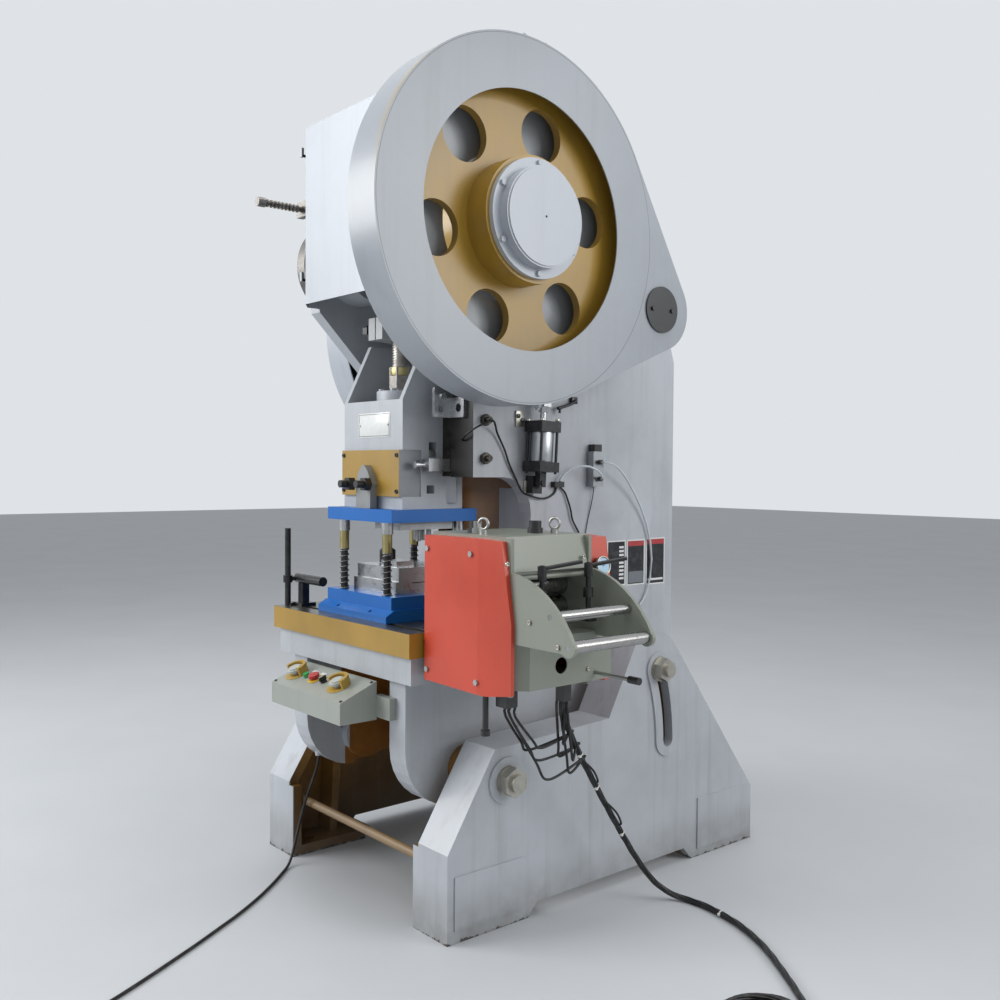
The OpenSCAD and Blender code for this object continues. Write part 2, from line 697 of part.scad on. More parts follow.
module control_box() {
  back = -249;
  rise = tan(panel_slope) * (back - box_front);
  color(grey) at_slide() difference() {
    union() {
      slab_x(-223, 223, [[box_front, box_z - 70], [back, box_z - 70], [back, box_z + rise],
        [box_front, box_z]]);
      // brackets to the cheeks
      both_sides() block([214, back - 2, box_z - 60], [300, -225.3, box_z + 10]);
      // crescent guards round the palm buttons
      for (x = palm_x) at_panel(x, 72) crescent();
    }
    slab_x(-220, 220, [[box_front + 3, box_z - 71], [back - 3, box_z - 71],
      [back - 3, box_z + rise - 4.5], [box_front + 3, box_z - 3.2]]);
    for (x = palm_x) at_panel(x, 72) translate([0, 0, -10]) cylinder(h = 30, r = 13.3);
    for (x = button_x) at_panel(x, 72) translate([0, 0, -10]) cylinder(h = 20, r = 11.3);
  }
}

module crescent() {
  difference() {
    translate([0, 0, -1]) cylinder(h = 33, r = 42);
    translate([0, 0, 2]) cylinder(h = 40, r = 31);
    translate([-50, -60, 2]) cube([100, 52, 40]);
  }
}

module air_cylinder() {
  color(black) at_slide() translate([cyl_x, cyl_y, cyl_z]) rotate([cyl_lean, 0, 0]) difference() {
    union() {
      translate([-44, -44, -86]) cube([88, 88, 34]);
      translate([-44, -44, 50]) cube([88, 88, 36]);
      translate([0, 0, -53]) cylinder(h = 104, r = 38);
      for (x = [-35, 35], y = [-35, 35]) translate([x, y, -92]) cylinder(h = 182, r = 5);
      // lower clevis and its bracket on the body
      translate([-13, -14, -138]) cube([26, 28, 53]);
      translate([-(cyl_x - body_half) + face_gap, -22, -160]) cube([cyl_x - body_half - 14, 44, 60]);
      translate([-16, 0, -124]) rotate([0, 90, 0]) cylinder(h = 34, r = 9);
    }
    translate([0, 0, -40]) cylinder(h = 140, r = 11.06);
  }
}

// Solenoid valve with its silencer, fittings and the two tubes that the body holds
module air_valve() {
  color("#3a3c3e") at_slide() {
    block([body_half + face_gap, 566, 1382], [body_half + 36, 618, 1508]);
    block([body_half + 4, 574, 1508], [body_half + 34, 610, 1534]);
    rod_x(body_half + 35, body_half + 50, 592, 1410, 9);
    rod_x(body_half + 35, body_half + 50, 592, 1470, 9);
    block([body_half + face_gap, 392, 1380], [body_half + 22, 436, 1400]);
    translate([body_half, 0, 0]) {
      tube(air_route, 4, 8, [0.1, 0.2, 1]);
      tube(clutch_route, 4, 8, [0.9, 0.2, 0.3]);
    }
  }
}

module lower_shoe() {
  z0 = bolster_z + face_gap;
  color(die_blue) at_slide() difference() {
    union() {
      block([-shoe_half, -shoe_d / 2, z0 + 20], [shoe_half, shoe_d / 2, lower_shoe_top]);
      slab_x(-shoe_half - 14, shoe_half + 14, [[-shoe_d / 2 - 30, z0], [shoe_d / 2 + 30, z0],
        [shoe_d / 2 + 30, z0 + 22], [shoe_d / 2 - 1, z0 + 40], [-shoe_d / 2 + 1, z0 + 40],
        [-shoe_d / 2 - 30, z0 + 22]]);
    }
    for (x = [-post_x, post_x], y = [-post_y, post_y])
      translate([x, y, z0 + 10]) cylinder(h = 120, r = post_r + run_gap);
    for (x = [-100, 100], y = shoe_bolt_y * [-1, 1]) translate([x, y, z0 - 1]) cylinder(h = 60, r = 7);
    translate([0, 0, z0 - 1]) cylinder(h = 100, r = 52);
  }
}

module guide_posts() {
  color(steel) at_slide() for (x = [-post_x, post_x], y = [-post_y, post_y])
    translate([x, y, bolster_z + 11]) cylinder(h = post_top - bolster_z - 11, r = post_r);
}

module die_block() {
  z0 = lower_shoe_top + face_gap;
  color(steel) at_slide() difference() {
    union() {
      block([-112, -124, z0], [150, 124, feed_line + 6]);
      block([-104, -114, feed_line + 5], [150, 114, die_top]);
      // raised stripper and the magnet beside it
      block([30, -104, die_top - 1], [122, -34, die_top + 20]);
      translate([-62, -16, die_top - 1]) cylinder(h = 45, r = 28);
    }
    for (p = punch_places) translate([p[0], p[1], z0 - 1]) cylinder(h = 140, r = punch_r + face_gap);
    // gap that the strip runs through
    block([-120, -60, feed_line - 1.5], [160, 60, feed_line + 1.5]);
  }
}

module sensor_post() {
  z0 = bolster_z + face_gap;
  color(black) at_slide() translate([25 - bolster_w / 2, 0, 0]) {
    translate([0, -225, z0]) cylinder(h = 284, r = 11);
    translate([0, -225, z0 + 84]) cylinder(h = 26, r = 17);
    block([9, -210, z0], [75, -150, z0 + 12]);
    block([25, -196, z0 + 11], [57, -168, z0 + 84]);
    rod_x(-5, 179, -182, z0 + 98, 17);
    block([-11, -226, z0], [25, -196, z0 + 10]);
    rod_y(-216, -190, 5, z0 + 97, 8);
  }
}

// Outline of one arm of the feeder in x, z
function arm_outline() = concat(
  [[780, 950], [780, 1152]], arc([770, 815], 338, 85, 28, 8),
  arc([1044, 968], 27, 24, -100, 6), [[1020, 950]]);

module feeder_frame() {
  y_near = feed_mid - feed_half;
  y_far = feed_mid + feed_half;
  right = 812;
  color(feeder_grey) at_feeder() difference() {
    union() {
      for (y = [y_near, y_far - feed_plate]) {
        block([feed_x, y, feed_z], [right, y + feed_plate, feed_z + feed_h]);
        slab_y(y, y + feed_plate, arm_outline());
      }
      // folded top cover
      slab_y(y_near, y_far, [[feed_x, feed_z + feed_h - 4], [feed_x, feed_z + feed_h + 4], [790, feed_z + feed_h + 4],
        [right, 1150], [808, 1148], [786, feed_z + feed_h - 4]]);
      // back wall and the bracket to the bolster
      block([feed_x, y_near, feed_z], [feed_x + 8, y_far, 1030]);
      block([feed_x - feed_gap + face_gap, -120, 872], [feed_x + 1, 120, 930]);
      // lower box
      translate([0, 0, feed_z + 18]) linear_extrude(148) polygon([[feed_x + 4, y_near + 4],
        [814, y_near + 14], [846, y_near + 44], [846, 184], [feed_x + 4, 184]]);
      // frame bars, and the bar that carries the width guides
      rod_y(y_near + 1, y_far - 1, 800, 1132, 8);
      rod_y(y_near + 1, y_far - 1, 560, 1150, 12);
      rod_y(y_near + 1, y_far - 1, guide_bar[0], guide_bar[1], guide_bar_r);
    }
    // inside of the lower box, open to the far side
    translate([0, 0, feed_z + 22]) linear_extrude(140) polygon([[feed_x + 8, y_near + feed_plate],
      [812, y_near + feed_plate + 6], [842, y_near + 47], [842, 185], [feed_x + 8, 185]]);
    rod_x(830, 860, -23, 874, 24);
    // bores of the rolls
    for (p = roll_places) rod_y(y_near - 1, y_far + 1, p[0], p[1], 9 + run_gap);
  }
}

// One folded cover between two planes across Y, with its outer edge bevelled
module feeder_cover(y_in, y_out, bevel) {
  s = sign(y_out - y_in);
  intersection() {
    slab_y(min(y_in, y_out), max(y_in, y_out), [[feed_x, feed_z], [735, feed_z - 6], [830, feed_z + 8],
      [830, 1004], [792, 1238], [700, 1242], [feed_x, 1240]]);
    linear_extrude(1300) polygon([[feed_x, y_in], [feed_x, y_out], [832 - bevel, y_out],
      [832, y_in + s * 12], [832, y_in]]);
  }
}

module feeder_covers() {
  color(orange) at_feeder() {
    feeder_cover(feed_mid - feed_half - face_gap, feed_mid - feed_half - 32, 128);
    difference() {
      feeder_cover(feed_mid + feed_half + face_gap, feed_mid + feed_half + 83, 20);
      block([feed_x - 1, feed_mid + feed_half, feed_z - 10], [900, 184.3, feed_z + 167]);
    }
    // cover screws
    for (p = [[460, 830], [700, 826], [460, 1200], [672, 1196]])
      hex_y(feed_mid - feed_half - 38, feed_mid - feed_half - 31.5, p[0], p[1], 16);
  }
}

// Eye bolts, spring knobs, gauge, levelling bolt, connectors and the adjusting rod
module feeder_fittings() {
  top = feed_z + feed_h + 4 + face_gap;
  color(black) at_feeder() {
    for (p = [[640, -150], [726, 58]]) {
      translate([p[0], p[1], top]) cylinder(h = 12, r = 12);
      translate([p[0], p[1], top + 30]) rotate([90, 0, 20]) rotate_extrude($fn = 48)
        translate([16, 0]) circle(r = 4.5, $fn = 16);
    }
    for (p = [[590, -140], [690, 12]]) {
      translate([p[0], p[1], top]) cylinder(h = 16, r = 24);
      translate([p[0], p[1], top + 15]) cylinder(h = 22, r = 19);
    }
    // gauge on the far cover
    translate([806.6, 166, 1150]) rotate([0, 80.8, 0]) cylinder(h = 16, r = 26);
    // levelling bolt
    translate([665, -158, 663]) cylinder(h = feed_z + 17.7 - 663, r = 9);
    translate([665, -158, 655]) cylinder(h = 16, r = 14);
    // connectors under the lower box
    block([690, -140, 744], [738, -96, feed_z + 17.7]);
    block([742, socket_front, socket_z], [778, 84, feed_z + 17.7]);
    // adjusting rod with its grip
    rod_x(846.3, 990, 116, 838, 6);
    rod_x(985, 1024, 116, 838, 11);
  }
}

module crankshaft() {
  color(steel) at_slide() {
    rod_x(92, 689, 0, crank_z, journal_r);
    rod_x(drum_out - 6, -92, 0, crank_z, journal_r);
    rod_x(-93, 93, 0, pin_z, pin_r);
    both_sides() rod_x(92, 149, 0, crank_z + crank_throw / 2, pin_r + crank_throw / 2 + 8);
    // brake drum
    rod_x(drum_out, drum_in, 0, crank_z, drum_r);
  }
}

module rod_cap() {
  color(grey) at_slide() {
    difference() {
      union() {
        rod_x(-84, 84, 0, pin_z, 146);
        block([-60, -170, pin_z + 1], [60, 170, pin_z + 48]);
      }
      rod_x(-85, 85, 0, pin_z, pin_r + run_gap);
      block([-90, -180, pin_z - 160], [90, 180, pin_z + face_gap]);
    }
    for (x = [-36, 36], s = [-1, 1]) translate([x, s * 148, pin_z + 48]) cylinder(h = 26, r = 17, $fn = 6);
  }
}

// Points of a spur gear with involute flanks
function involute(rb, t) = rb * [cos(t) + t * PI / 180 * sin(t), sin(t) - t * PI / 180 * cos(t)];
function spun(p, a) = [p[0] * cos(a) - p[1] * sin(a), p[0] * sin(a) + p[1] * cos(a)];
function roll_angle(r, rb) = r > rb ? sqrt(pow(r / rb, 2) - 1) * 180 / PI : 0;
function gear_points(z, m, backlash, n) =
  let (r = m * z / 2, rb = r * cos(20), ra = r + m * 0.95, rf = r - m * 1.25,
    half = 90 / z - backlash / r * 90 / PI + roll_angle(r, rb) - 20,
    t0 = roll_angle(rf, rb), t1 = roll_angle(ra, rb))
  [for (i = [0 : z - 1]) let (a = 360 * i / z) each concat(
    [spun([rf, 0], a - half)],
    [for (k = [0 : n]) spun(involute(rb, t0 + (t1 - t0) * k / n), a - half)],
    [for (k = [n : -1 : 0]) let (p = involute(rb, t0 + (t1 - t0) * k / n)) spun([p[0], -p[1]], a + half)],
    [spun([rf, 0], a + half)])];

module gear_wheel() {
  rim_in = gear_r - 60;
  color(ochre) at_slide() difference() {
    union() {
      difference() {
        translate([gear_x, 0, crank_z]) rotate([90, 0, 90]) rotate([0, 0, mesh_angle])
          linear_extrude(gear_w) polygon(gear_points(gear_z, gear_m, 0.5, 2));
        rod_x(gear_x - 1, gear_x + gear_w + 1, 0, crank_z, rim_in, $fn = 120);
      }
      rod_x(web_x - 28, web_x, 0, crank_z, rim_in + 1, $fn = 120);
      rod_x(gear_hub_x, 690, 0, crank_z, hub_r, $fn = 96);
    }
    rod_x(gear_hub_x - 1, 692, 0, crank_z, journal_r + run_gap);
    for (i = [0 : 5])
      rod_x(web_x - 60, web_x + 20, web_hole_pcr * cos(10 + 60 * i),
        crank_z + web_hole_pcr * sin(10 + 60 * i), web_hole_r);
  }
}

module hub_cap() {
  color(grey) at_slide() difference() {
    union() {
      rod_x(690 + face_gap, 707, 0, crank_z, 178);
      rod_x(706, 738, 0, crank_z, 150);
      rod_x(737, 742, 0, crank_z, 144);
      for (i = [0 : 5]) hex_x(706, 716, 164 * cos(60 * i + 30), crank_z + 164 * sin(60 * i + 30), 16);
    }
    rod_x(734, 743, 0, crank_z, 4);
  }
}

module pinion_shaft() {
  color(steel) at_slide() {
    rod_x(-648, 648, shaft_y, shaft_z, shaft_r);
    translate([gear_x - 4, shaft_y, shaft_z]) rotate([90, 0, 90])
      rotate([0, 0, mesh_angle + 180 + 180 / pinion_z])
      linear_extrude(gear_w + 8) polygon(gear_points(pinion_z, gear_m, 0.5, 4));
  }
}

module flywheel() {
  x0 = belt_x - flywheel_w / 2;
  x1 = belt_x + flywheel_w / 2;
  color(ochre) at_slide() difference() {
    union() {
      rod_x(x0, x1, shaft_y, shaft_z, flywheel_r, $fn = 120);
      rod_x(-616, -body_half - 90, shaft_y, shaft_z, 95);
    }
    rod_x(-617, -body_half - 89, shaft_y, shaft_z, shaft_r + run_gap);
    // dished web with holes
    for (x = [x0 - 30, belt_x + 16]) difference() {
      rod_x(x, x + 64, shaft_y, shaft_z, flywheel_r - 62, $fn = 96);
      rod_x(x - 1, x + 65, shaft_y, shaft_z, 95);
    }
    for (i = [0 : 4])
      rod_x(x0, x1, shaft_y + 250 * cos(72 * i), shaft_z + 250 * sin(72 * i), 68);
    // belt grooves
    for (i = [0 : 3]) let (x = belt_x - 42.6 + i * 24) difference() {
      rod_x(x, x + 14.2, shaft_y, shaft_z, flywheel_r + 1, $fn = 96);
      rod_x(x - 1, x + 15.2, shaft_y, shaft_z, flywheel_r - 10, $fn = 96);
    }
  }
}

module motor_pulley() {
  color(steel) at_slide() difference() {
    union() {
      rod_x(belt_x - 52, belt_x + 60, motor_y, motor_z, motor_pulley_r - 1);
      rod_x(belt_x - 60, -298, motor_y, motor_z, motor_shaft_r);
    }
    for (i = [0 : 3]) let (x = belt_x - 42.6 + i * 24) difference() {
      rod_x(x, x + 14.2, motor_y, motor_z, motor_pulley_r + 1);
      rod_x(x - 1, x + 15.2, motor_y, motor_z, motor_pulley_r - 10);
    }
  }
}

module ram() {
  front_z = ram_z + 42;
  color(grey) at_slide() difference() {
    union() {
      // block, set back where the clamp plate sits
      block([-ram_half, -clamp_back, ram_z], [ram_half, ram_back, well_z]);
      block([-ram_half, -ram_front, ram_z], [ram_half, 1 - clamp_back, front_z]);
      block([-ram_half, -ram_front, front_z + clamp_h], [ram_half, 1 - clamp_back, well_z]);
      // front wall, side walls with slanting front edges, and the back wall
      block([-ram_half, -ram_front, well_z - 1], [ram_half, -ram_front + 20, well_z + 13]);
      both_sides() slab_x(ram_half - 20, ram_half, [[-ram_front, well_z - 1], [-ram_front, well_z + 13],
        [-22, ram_top], [ram_back, ram_top], [ram_back, well_z - 1]]);
      block([-ram_half, ram_back - 24, well_z - 1], [ram_half, ram_back, ram_top]);
      // V ridges that run in the gibs
      both_sides() translate([0, 0, ram_z + 20]) linear_extrude(ram_top - ram_z - 20)
        polygon([[ram_half - 1, 58], [ram_half + 24, vee_y], [ram_half - 1, 110]]);
    }
    translate([0, 0, ball_z]) sphere(r = 71);
    translate([0, 0, ball_z]) cylinder(h = 100, r = 71);
    // hole for the die's shank, and the recess for the clamp's jaw
    translate([0, 0, ram_z - 1]) cylinder(h = 101, r = shank_r + run_gap);
    block([-60, -clamp_back - 1, front_z - 1], [60, 0, front_z + 62]);
    // slot for the knock-out bar, and the square hole below it
    block([-ram_half - 1, -14, 1482], [ram_half + 1, 18, 1532]);
    both_sides() block([ram_half - 40, -22, 1358], [ram_half + 1, 10, 1386]);
  }
}

module shank_clamp() {
  z0 = ram_z + 42 + face_gap;
  z1 = ram_z + 42 + clamp_h - face_gap;
  front = -ram_front - 12;
  color(ochre) at_slide() {
    difference() {
      union() {
        block([4 - ram_half, front, z0], [ram_half - 4, -clamp_back - face_gap, z1]);
        block([-60 + face_gap, -clamp_back - 1, z0], [60 - face_gap, -face_gap, z0 + 61]);
        // pointed cast boss in front of the shank
        slab_y(front - 26, front + 1, concat([[boss_w, ram_z + face_gap]],
          arc([-boss_w * 0.9, z0 + 34], boss_w * 1.9, 0, 58, 5), arc([boss_w * 0.9, z0 + 34], boss_w * 1.9, 122, 180, 5),
          [[-boss_w, ram_z + face_gap]]));
      }
      translate([0, 0, z0 - 1]) cylinder(h = 62, r = shank_r + run_gap);
    }
    // clamp studs and nuts
    for (x = [-boss_w - 22, boss_w - 10]) {
      rod_y(front - 78, front + 1, x, z0 + 40, 13);
      hex_y(front - 50, front - 26, x, z0 + 40, 42);
    }
  }
}

module connecting_rod() {
  color(grey) at_slide() difference() {
    union() {
      rod_x(-84, 84, 0, pin_z, 146);
      block([-60, -170, pin_z - 60], [60, 170, pin_z]);
      translate([0, 0, rod_bottom]) cylinder(h = 240, r = 64);
      // clamp lugs at the lower end
      block([-42, -112, rod_bottom], [42, -20, rod_bottom + 76]);
      rod_x(-74, 60, -88, rod_bottom + 38, 13);
      hex_x(-86, -60, -88, rod_bottom + 38, 40);
    }
    rod_x(-85, 85, 0, pin_z, pin_r + run_gap);
    block([-90, -180, pin_z], [90, 180, pin_z + 160]);
    translate([0, 0, rod_bottom - 1]) cylinder(h = 170, r = screw_r + run_gap);
    block([-3, -113, rod_bottom - 1], [3, -30, rod_bottom + 77]);
  }
}

// Adjusting screw with its ball, and the thread as grooves
module ball_screw() {
  color(steel) at_slide() difference() {
    union() {
      translate([0, 0, ball_z]) sphere(r = 70);
      translate([0, 0, ball_z + 50]) cylinder(h = 400, r = screw_r);
      translate([0, 0, well_z + 62]) cylinder(h = 74, r = 44, $fn = 6);
    }
    for (i = [0 : 7]) translate([0, 0, well_z + 146 + i * 9]) difference() {
      cylinder(h = 4, r = screw_r + 1);
      translate([0, 0, -1]) cylinder(h = 6, r = screw_r - 3);
    }
  }
}

// Ring that holds the ball down
module screw_cap() {
  color(grey) at_slide() difference() {
    union() {
      translate([0, 0, well_z + face_gap]) cylinder(h = 50, r = 88);
      for (i = [0 : 5]) translate([70 * cos(60 * i), 70 * sin(60 * i), well_z + 49])
        cylinder(h = 10, r = 11, $fn = 6);
    }
    translate([0, 0, well_z - 5]) cylinder(h = 80, r = 46);
  }
}

module knockout_bar() {
  color(steel) at_slide() block([3 - ram_half, -11, 1482 + face_gap], [ram_half - 3, 15, 1506]);
}

module upper_shoe() {
  z1 = ram_z - face_gap;
  z0 = ram_z - upper_shoe_t;
  color(die_blue) at_slide() difference() {
    union() {
      block([-shoe_half, -shoe_d / 2, z0], [shoe_half, shoe_d / 2, z1]);
      translate([0, 0, z1 - 1]) cylinder(h = 90, r = shank_r);
      // punch plate and punches
      block([0, -110, z0 - 28], [150, 110, z0 + 1]);
      for (p = punch_places) translate([p[0], p[1], z0 - 70]) cylinder(h = 43, r = punch_r);
    }
    for (x = [-post_x, post_x], y = [-post_y, post_y])
      translate([x, y, z0 - 50]) cylinder(h = upper_shoe_t + 60, r = bush_r + 0.05);
  }
}

module post_sleeves() {
  color(steel) at_slide() for (x = [-post_x, post_x], y = [-post_y, post_y]) difference() {
    translate([x, y, bush_z]) cylinder(h = ram_z - face_gap - 1 - bush_z, r = bush_r);
    translate([x, y, bush_z - 1]) cylinder(h = 200, r = cage_r + run_gap);
  }
}

module ball_cages() {
  color("#b59a4e") at_slide() for (x = [-post_x, post_x], y = [-post_y, post_y]) difference() {
    translate([x, y, bush_z - cage_h]) cylinder(h = cage_h + 12, r = cage_r);
    translate([x, y, bush_z - cage_h - 1]) cylinder(h = cage_h + 20, r = post_r + run_gap);
  }
}

// A solid through rings of points, each ring turning to the left about the way ahead
module skin(rings) {
  sides = len(rings[0]);
  n = len(rings) - 1;
  polyhedron([for (ring = rings) each ring], concat(
    [[for (k = [0 : sides - 1]) k]],
    [for (i = [0 : n - 1], k = [0 : sides - 1]) let (j = (k + 1) % sides)
      each [[i * sides + k, (i + 1) * sides + k, (i + 1) * sides + j],
        [i * sides + k, (i + 1) * sides + j, i * sides + j]]],
    [[for (k = [sides - 1 : -1 : 0]) n * sides + k]]));
}

// A helical spring standing on z = 0
module coil_spring(height, coil_r, wire_r, turns, per_turn, sides) {
  n = turns * per_turn;
  rise = height - 2 * wire_r;
  skin([for (i = [0 : n]) let (a = 360 * i / per_turn, z = wire_r + rise * i / n)
    [for (k = [0 : sides - 1]) let (b = -360 * k / sides, r = coil_r + wire_r * cos(b))
      [r * cos(a), r * sin(a), z + wire_r * sin(b)]]]);
}

module post_springs() {
  color(steel) at_slide() for (x = [-post_x, post_x], y = [-post_y, post_y])
    translate([x, y, lower_shoe_top + face_gap])
      coil_spring(bush_z - cage_h - lower_shoe_top - 2 * face_gap, (post_r + 2.6) / cos(22.5), 1.9, 9, 8, 5);
}

module palm_button(x) {
  color(black) at_slide() at_panel(x, 72) {
    translate([0, 0, -8]) cylinder(h = 24, r = 13);
    translate([0, 0, 15]) cylinder(h = 8, r = 27);
    translate([0, 0, 22.5]) cylinder(h = 5, r = 20);
  }
}

module palm_button_left() {
  palm_button(palm_x[0]);
}

module palm_button_right() {
  palm_button(palm_x[1]);
}

module start_button() {
  color("#1f9a55") at_slide() at_panel(button_x[0], 72) translate([0, 0, -6]) cylinder(h = 20, r = 11);
}

module stop_button() {
  color("#c0283a") at_slide() at_panel(button_x[1], 72) {
    translate([0, 0, -6]) cylinder(h = 16, r = 11);
    translate([0, 0, 9.5]) cylinder(h = 10, r = 19);
  }
}

module selector_switch() {
  color(black) at_slide() at_panel(button_x[2], 72) {
    translate([0, 0, -6]) cylinder(h = 14, r = 11);
    translate([-4, -13, 7.5]) cube([8, 26, 14]);
  }
}

module cylinder_rod() {
  color(steel) at_slide() translate([cyl_x, cyl_y, cyl_z]) rotate([cyl_lean, 0, 0]) {
    translate([0, 0, -10]) cylinder(h = 150, r = 11);
    translate([0, 0, 118]) cylinder(h = 20, r = 18, $fn = 6);
    difference() {
      translate([-20, -16, 136]) cube([40, 32, 50]);
      translate([-9, -17, 152]) cube([18, 34, 40]);
      translate([-30, 0, 168]) rotate([0, 90, 0]) cylinder(h = 60, r = 7);
    }
  }
}

// A roll on its shaft between the feeder's side plates
module feed_roll(place, r) {
  y0 = feed_mid - feed_half;
  y1 = feed_mid + feed_half;
  rod_y(y0 + feed_plate + 1, y1 - feed_plate - 1, place[0], place[1], r);
  rod_y(y0 + 0.5, y1 - 0.5, place[0], place[1], 9);
}

module lower_feed_roll() {
  color(steel) at_feeder() feed_roll(roll_places[0], feed_roll_r);
}

module upper_feed_roll() {
  color(steel) at_feeder() feed_roll(roll_places[1], feed_roll_r);
}

module end_roller() {
  color(steel) at_feeder() feed_roll(roll_places[2], end_roller_r);
}

module entry_roller() {
  color(steel) at_feeder() feed_roll(roll_places[3], 15);
}

// Width guide: a roller on its post, with a carriage on the guide bar and a clamp lever
module width_guide(y) {
  x = guide_bar[0];
  z = guide_bar[1];
  translate([x, y, z + 14]) cylinder(h = 144, r = 8);
  translate([x, y, feed_line + 14]) cylinder(h = 28, r = 15);
  translate([x, y, z + 116]) cylinder(h = 40, r = 13);
  translate([x, y, z + 148]) rotate([0, 80, 60]) cylinder(h = 118, r = 6);
  difference() {
    block([x - 20, y - 16, z - 14], [x + 20, y + 16, z + 16]);
    rod_y(y - 20, y + 20, x, z, guide_bar_r + run_gap);
  }
}

module guide_near() {
  color(black) at_feeder() width_guide(feed_mid - 92);
}

module guide_far() {
  color(black) at_feeder() width_guide(feed_mid + 92);
}

// A tube along a route: its rings stand square to the route, turned from one reference direction
function unit(v) = v / norm(v);
function along(route, i) = unit(route[min(i + 1, len(route) - 1)] - route[max(i - 1, 0)]);
function ring(route, i, r, sides, ref) =
  let (t = along(route, i), u = unit(cross(t, ref)), v = cross(t, u))
  [for (k = [0 : sides - 1]) route[i] + r * (cos(360 * k / sides) * u + sin(360 * k / sides) * v)];
module tube(route, r, sides, ref) {
  skin([for (i = [0 : len(route) - 1]) ring(route, i, r, sides, ref)]);
}

// The top of the cable lies inside the circle that the socket's front edge makes about the pivot
module feeder_cable() {
  sweep_r = norm([socket_front - pivot_y, socket_z - pivot_z]) - face_gap;
  color(black) difference() {
    tube(feeder_route, feeder_cord_r, 10, [0.6, 0.6, 0.5]);
    at_slide() difference() {
      block([735, 40, socket_z - 12], [785, 90, socket_z + 12]);
      rod_x(734, 786, pivot_y, pivot_z, sweep_r, $fn = 360);
    }
  }
}

// Outer shape of a round coil that lies on the floor
module cable_coil(place, mid_r, width, height) {
  translate([place[0], place[1], 0]) rotate_extrude($fn = 64)
    translate([mid_r - width / 2, 0]) square([width, height]);
}

module feeder_coil() {
  color(black) cable_coil(feeder_coil_at, feeder_cord_r * 11, feeder_cord_r * 6, feeder_cord_r * 3.8);
}

module control_cable() {
  color(black) tube(control_route, control_cord_r, 8, [0.7, 0.6, 0.3]);
}

module control_coil() {
  color(black) cable_coil(control_coil_at, control_cord_r * 11, control_cord_r * 6, control_cord_r * 3.8);
}

// Connectors on the far ends of the two cables, lying on their coils
module cable_plugs() {
  z_feeder = feeder_cord_r * 3.8 + face_gap;
  z_control = control_cord_r * 3.8 + face_gap + plug_r;
  color(black) {
    block([feeder_coil_at[0] - 40, feeder_coil_at[1] - feeder_cord_r * 11 - 26, z_feeder],
      [feeder_coil_at[0] + 40, feeder_coil_at[1] - feeder_cord_r * 11 + 26, z_feeder + 36]);
    rod_x(control_coil_at[0] - 28, control_coil_at[0] + 28, control_coil_at[1] - control_cord_r * 11, z_control, plug_r);
  }
}

leg_right();
leg_left();
tie_rods();
pivot_bolts();
body_frame();
bolster();
gibs();
lock_bolts();
bearings();
crank_cover();
gear_guard();
flywheel_guard();
band_brake();
motor();
drive_belts();
stop_brackets();
control_box();
air_cylinder();
air_valve();
lower_shoe();
guide_posts();
die_block();
sensor_post();
feeder_frame();
feeder_covers();
feeder_fittings();
crankshaft();
rod_cap();
gear_wheel();
hub_cap();
pinion_shaft();
flywheel();
motor_pulley();
ram();
shank_clamp();
connecting_rod();
ball_screw();
screw_cap();
knockout_bar();
upper_shoe();
post_sleeves();
ball_cages();
post_springs();
palm_button_left();
palm_button_right();
start_button();
stop_button();
selector_switch();
cylinder_rod();
lower_feed_roll();
upper_feed_roll();
end_roller();
entry_roller();
guide_near();
guide_far();
feeder_cable();
feeder_coil();
control_cable();
control_coil();
cable_plugs();
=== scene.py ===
import math

import bpy
from mathutils import Matrix, Vector


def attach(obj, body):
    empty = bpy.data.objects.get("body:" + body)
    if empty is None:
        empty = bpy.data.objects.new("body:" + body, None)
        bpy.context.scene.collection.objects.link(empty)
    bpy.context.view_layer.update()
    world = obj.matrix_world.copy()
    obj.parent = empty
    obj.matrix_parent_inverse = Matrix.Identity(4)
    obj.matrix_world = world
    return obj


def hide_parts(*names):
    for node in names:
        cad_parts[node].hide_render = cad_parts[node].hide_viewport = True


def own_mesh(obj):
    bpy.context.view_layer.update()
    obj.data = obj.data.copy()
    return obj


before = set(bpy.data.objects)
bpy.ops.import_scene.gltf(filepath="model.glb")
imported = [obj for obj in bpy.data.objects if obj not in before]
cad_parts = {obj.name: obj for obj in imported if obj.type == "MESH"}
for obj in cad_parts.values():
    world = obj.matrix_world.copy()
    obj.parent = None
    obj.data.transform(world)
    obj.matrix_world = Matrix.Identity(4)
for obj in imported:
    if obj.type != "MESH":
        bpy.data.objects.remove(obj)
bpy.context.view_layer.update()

bl_info = {
    "name": "Stamping press",
    "version": (1, 0, 0),
    "blender": (4, 5, 0),
    "location": "View3D > Sidebar > Press",
    "description": "Dresses an inclinable stamping press with its paint, cables, signs and fittings",
    "category": "Add Mesh",
}

SLIDE_Y = -0.534                    # the slide's centre line in the frame
BODY_SIDE = 350                     # the body's right side, in millimetres from the middle
SLIDE_FRONT = -122                  # the slide's front, in millimetres from its centre line
SHARP_EDGE = math.radians(40)       # an edge sharper than this is rounded
SMOOTH_SHADE = math.radians(35)     # faces that meet at less than this share their shading
SMOOTH_WIRE = math.radians(50)
ALONG = 0.9                         # a face whose normal has this share of a direction looks that way


# Small tools

def linear(tone):
    """The linear colour of an sRGB hex value"""
    parts = [int(tone[i:i + 2], 16) / 255 for i in (1, 3, 5)]
    return [c / 12.92 if c <= 0.04045 else ((c + 0.055) / 1.055) ** 2.4 for c in parts]


def rgba(tone, share=1.0):
    """A colour for a node's socket, from a hex value or linear parts, made darker or lighter"""
    parts = linear(tone) if isinstance(tone, str) else tone
    return [*(min(1, c * share) for c in parts), 1.0]


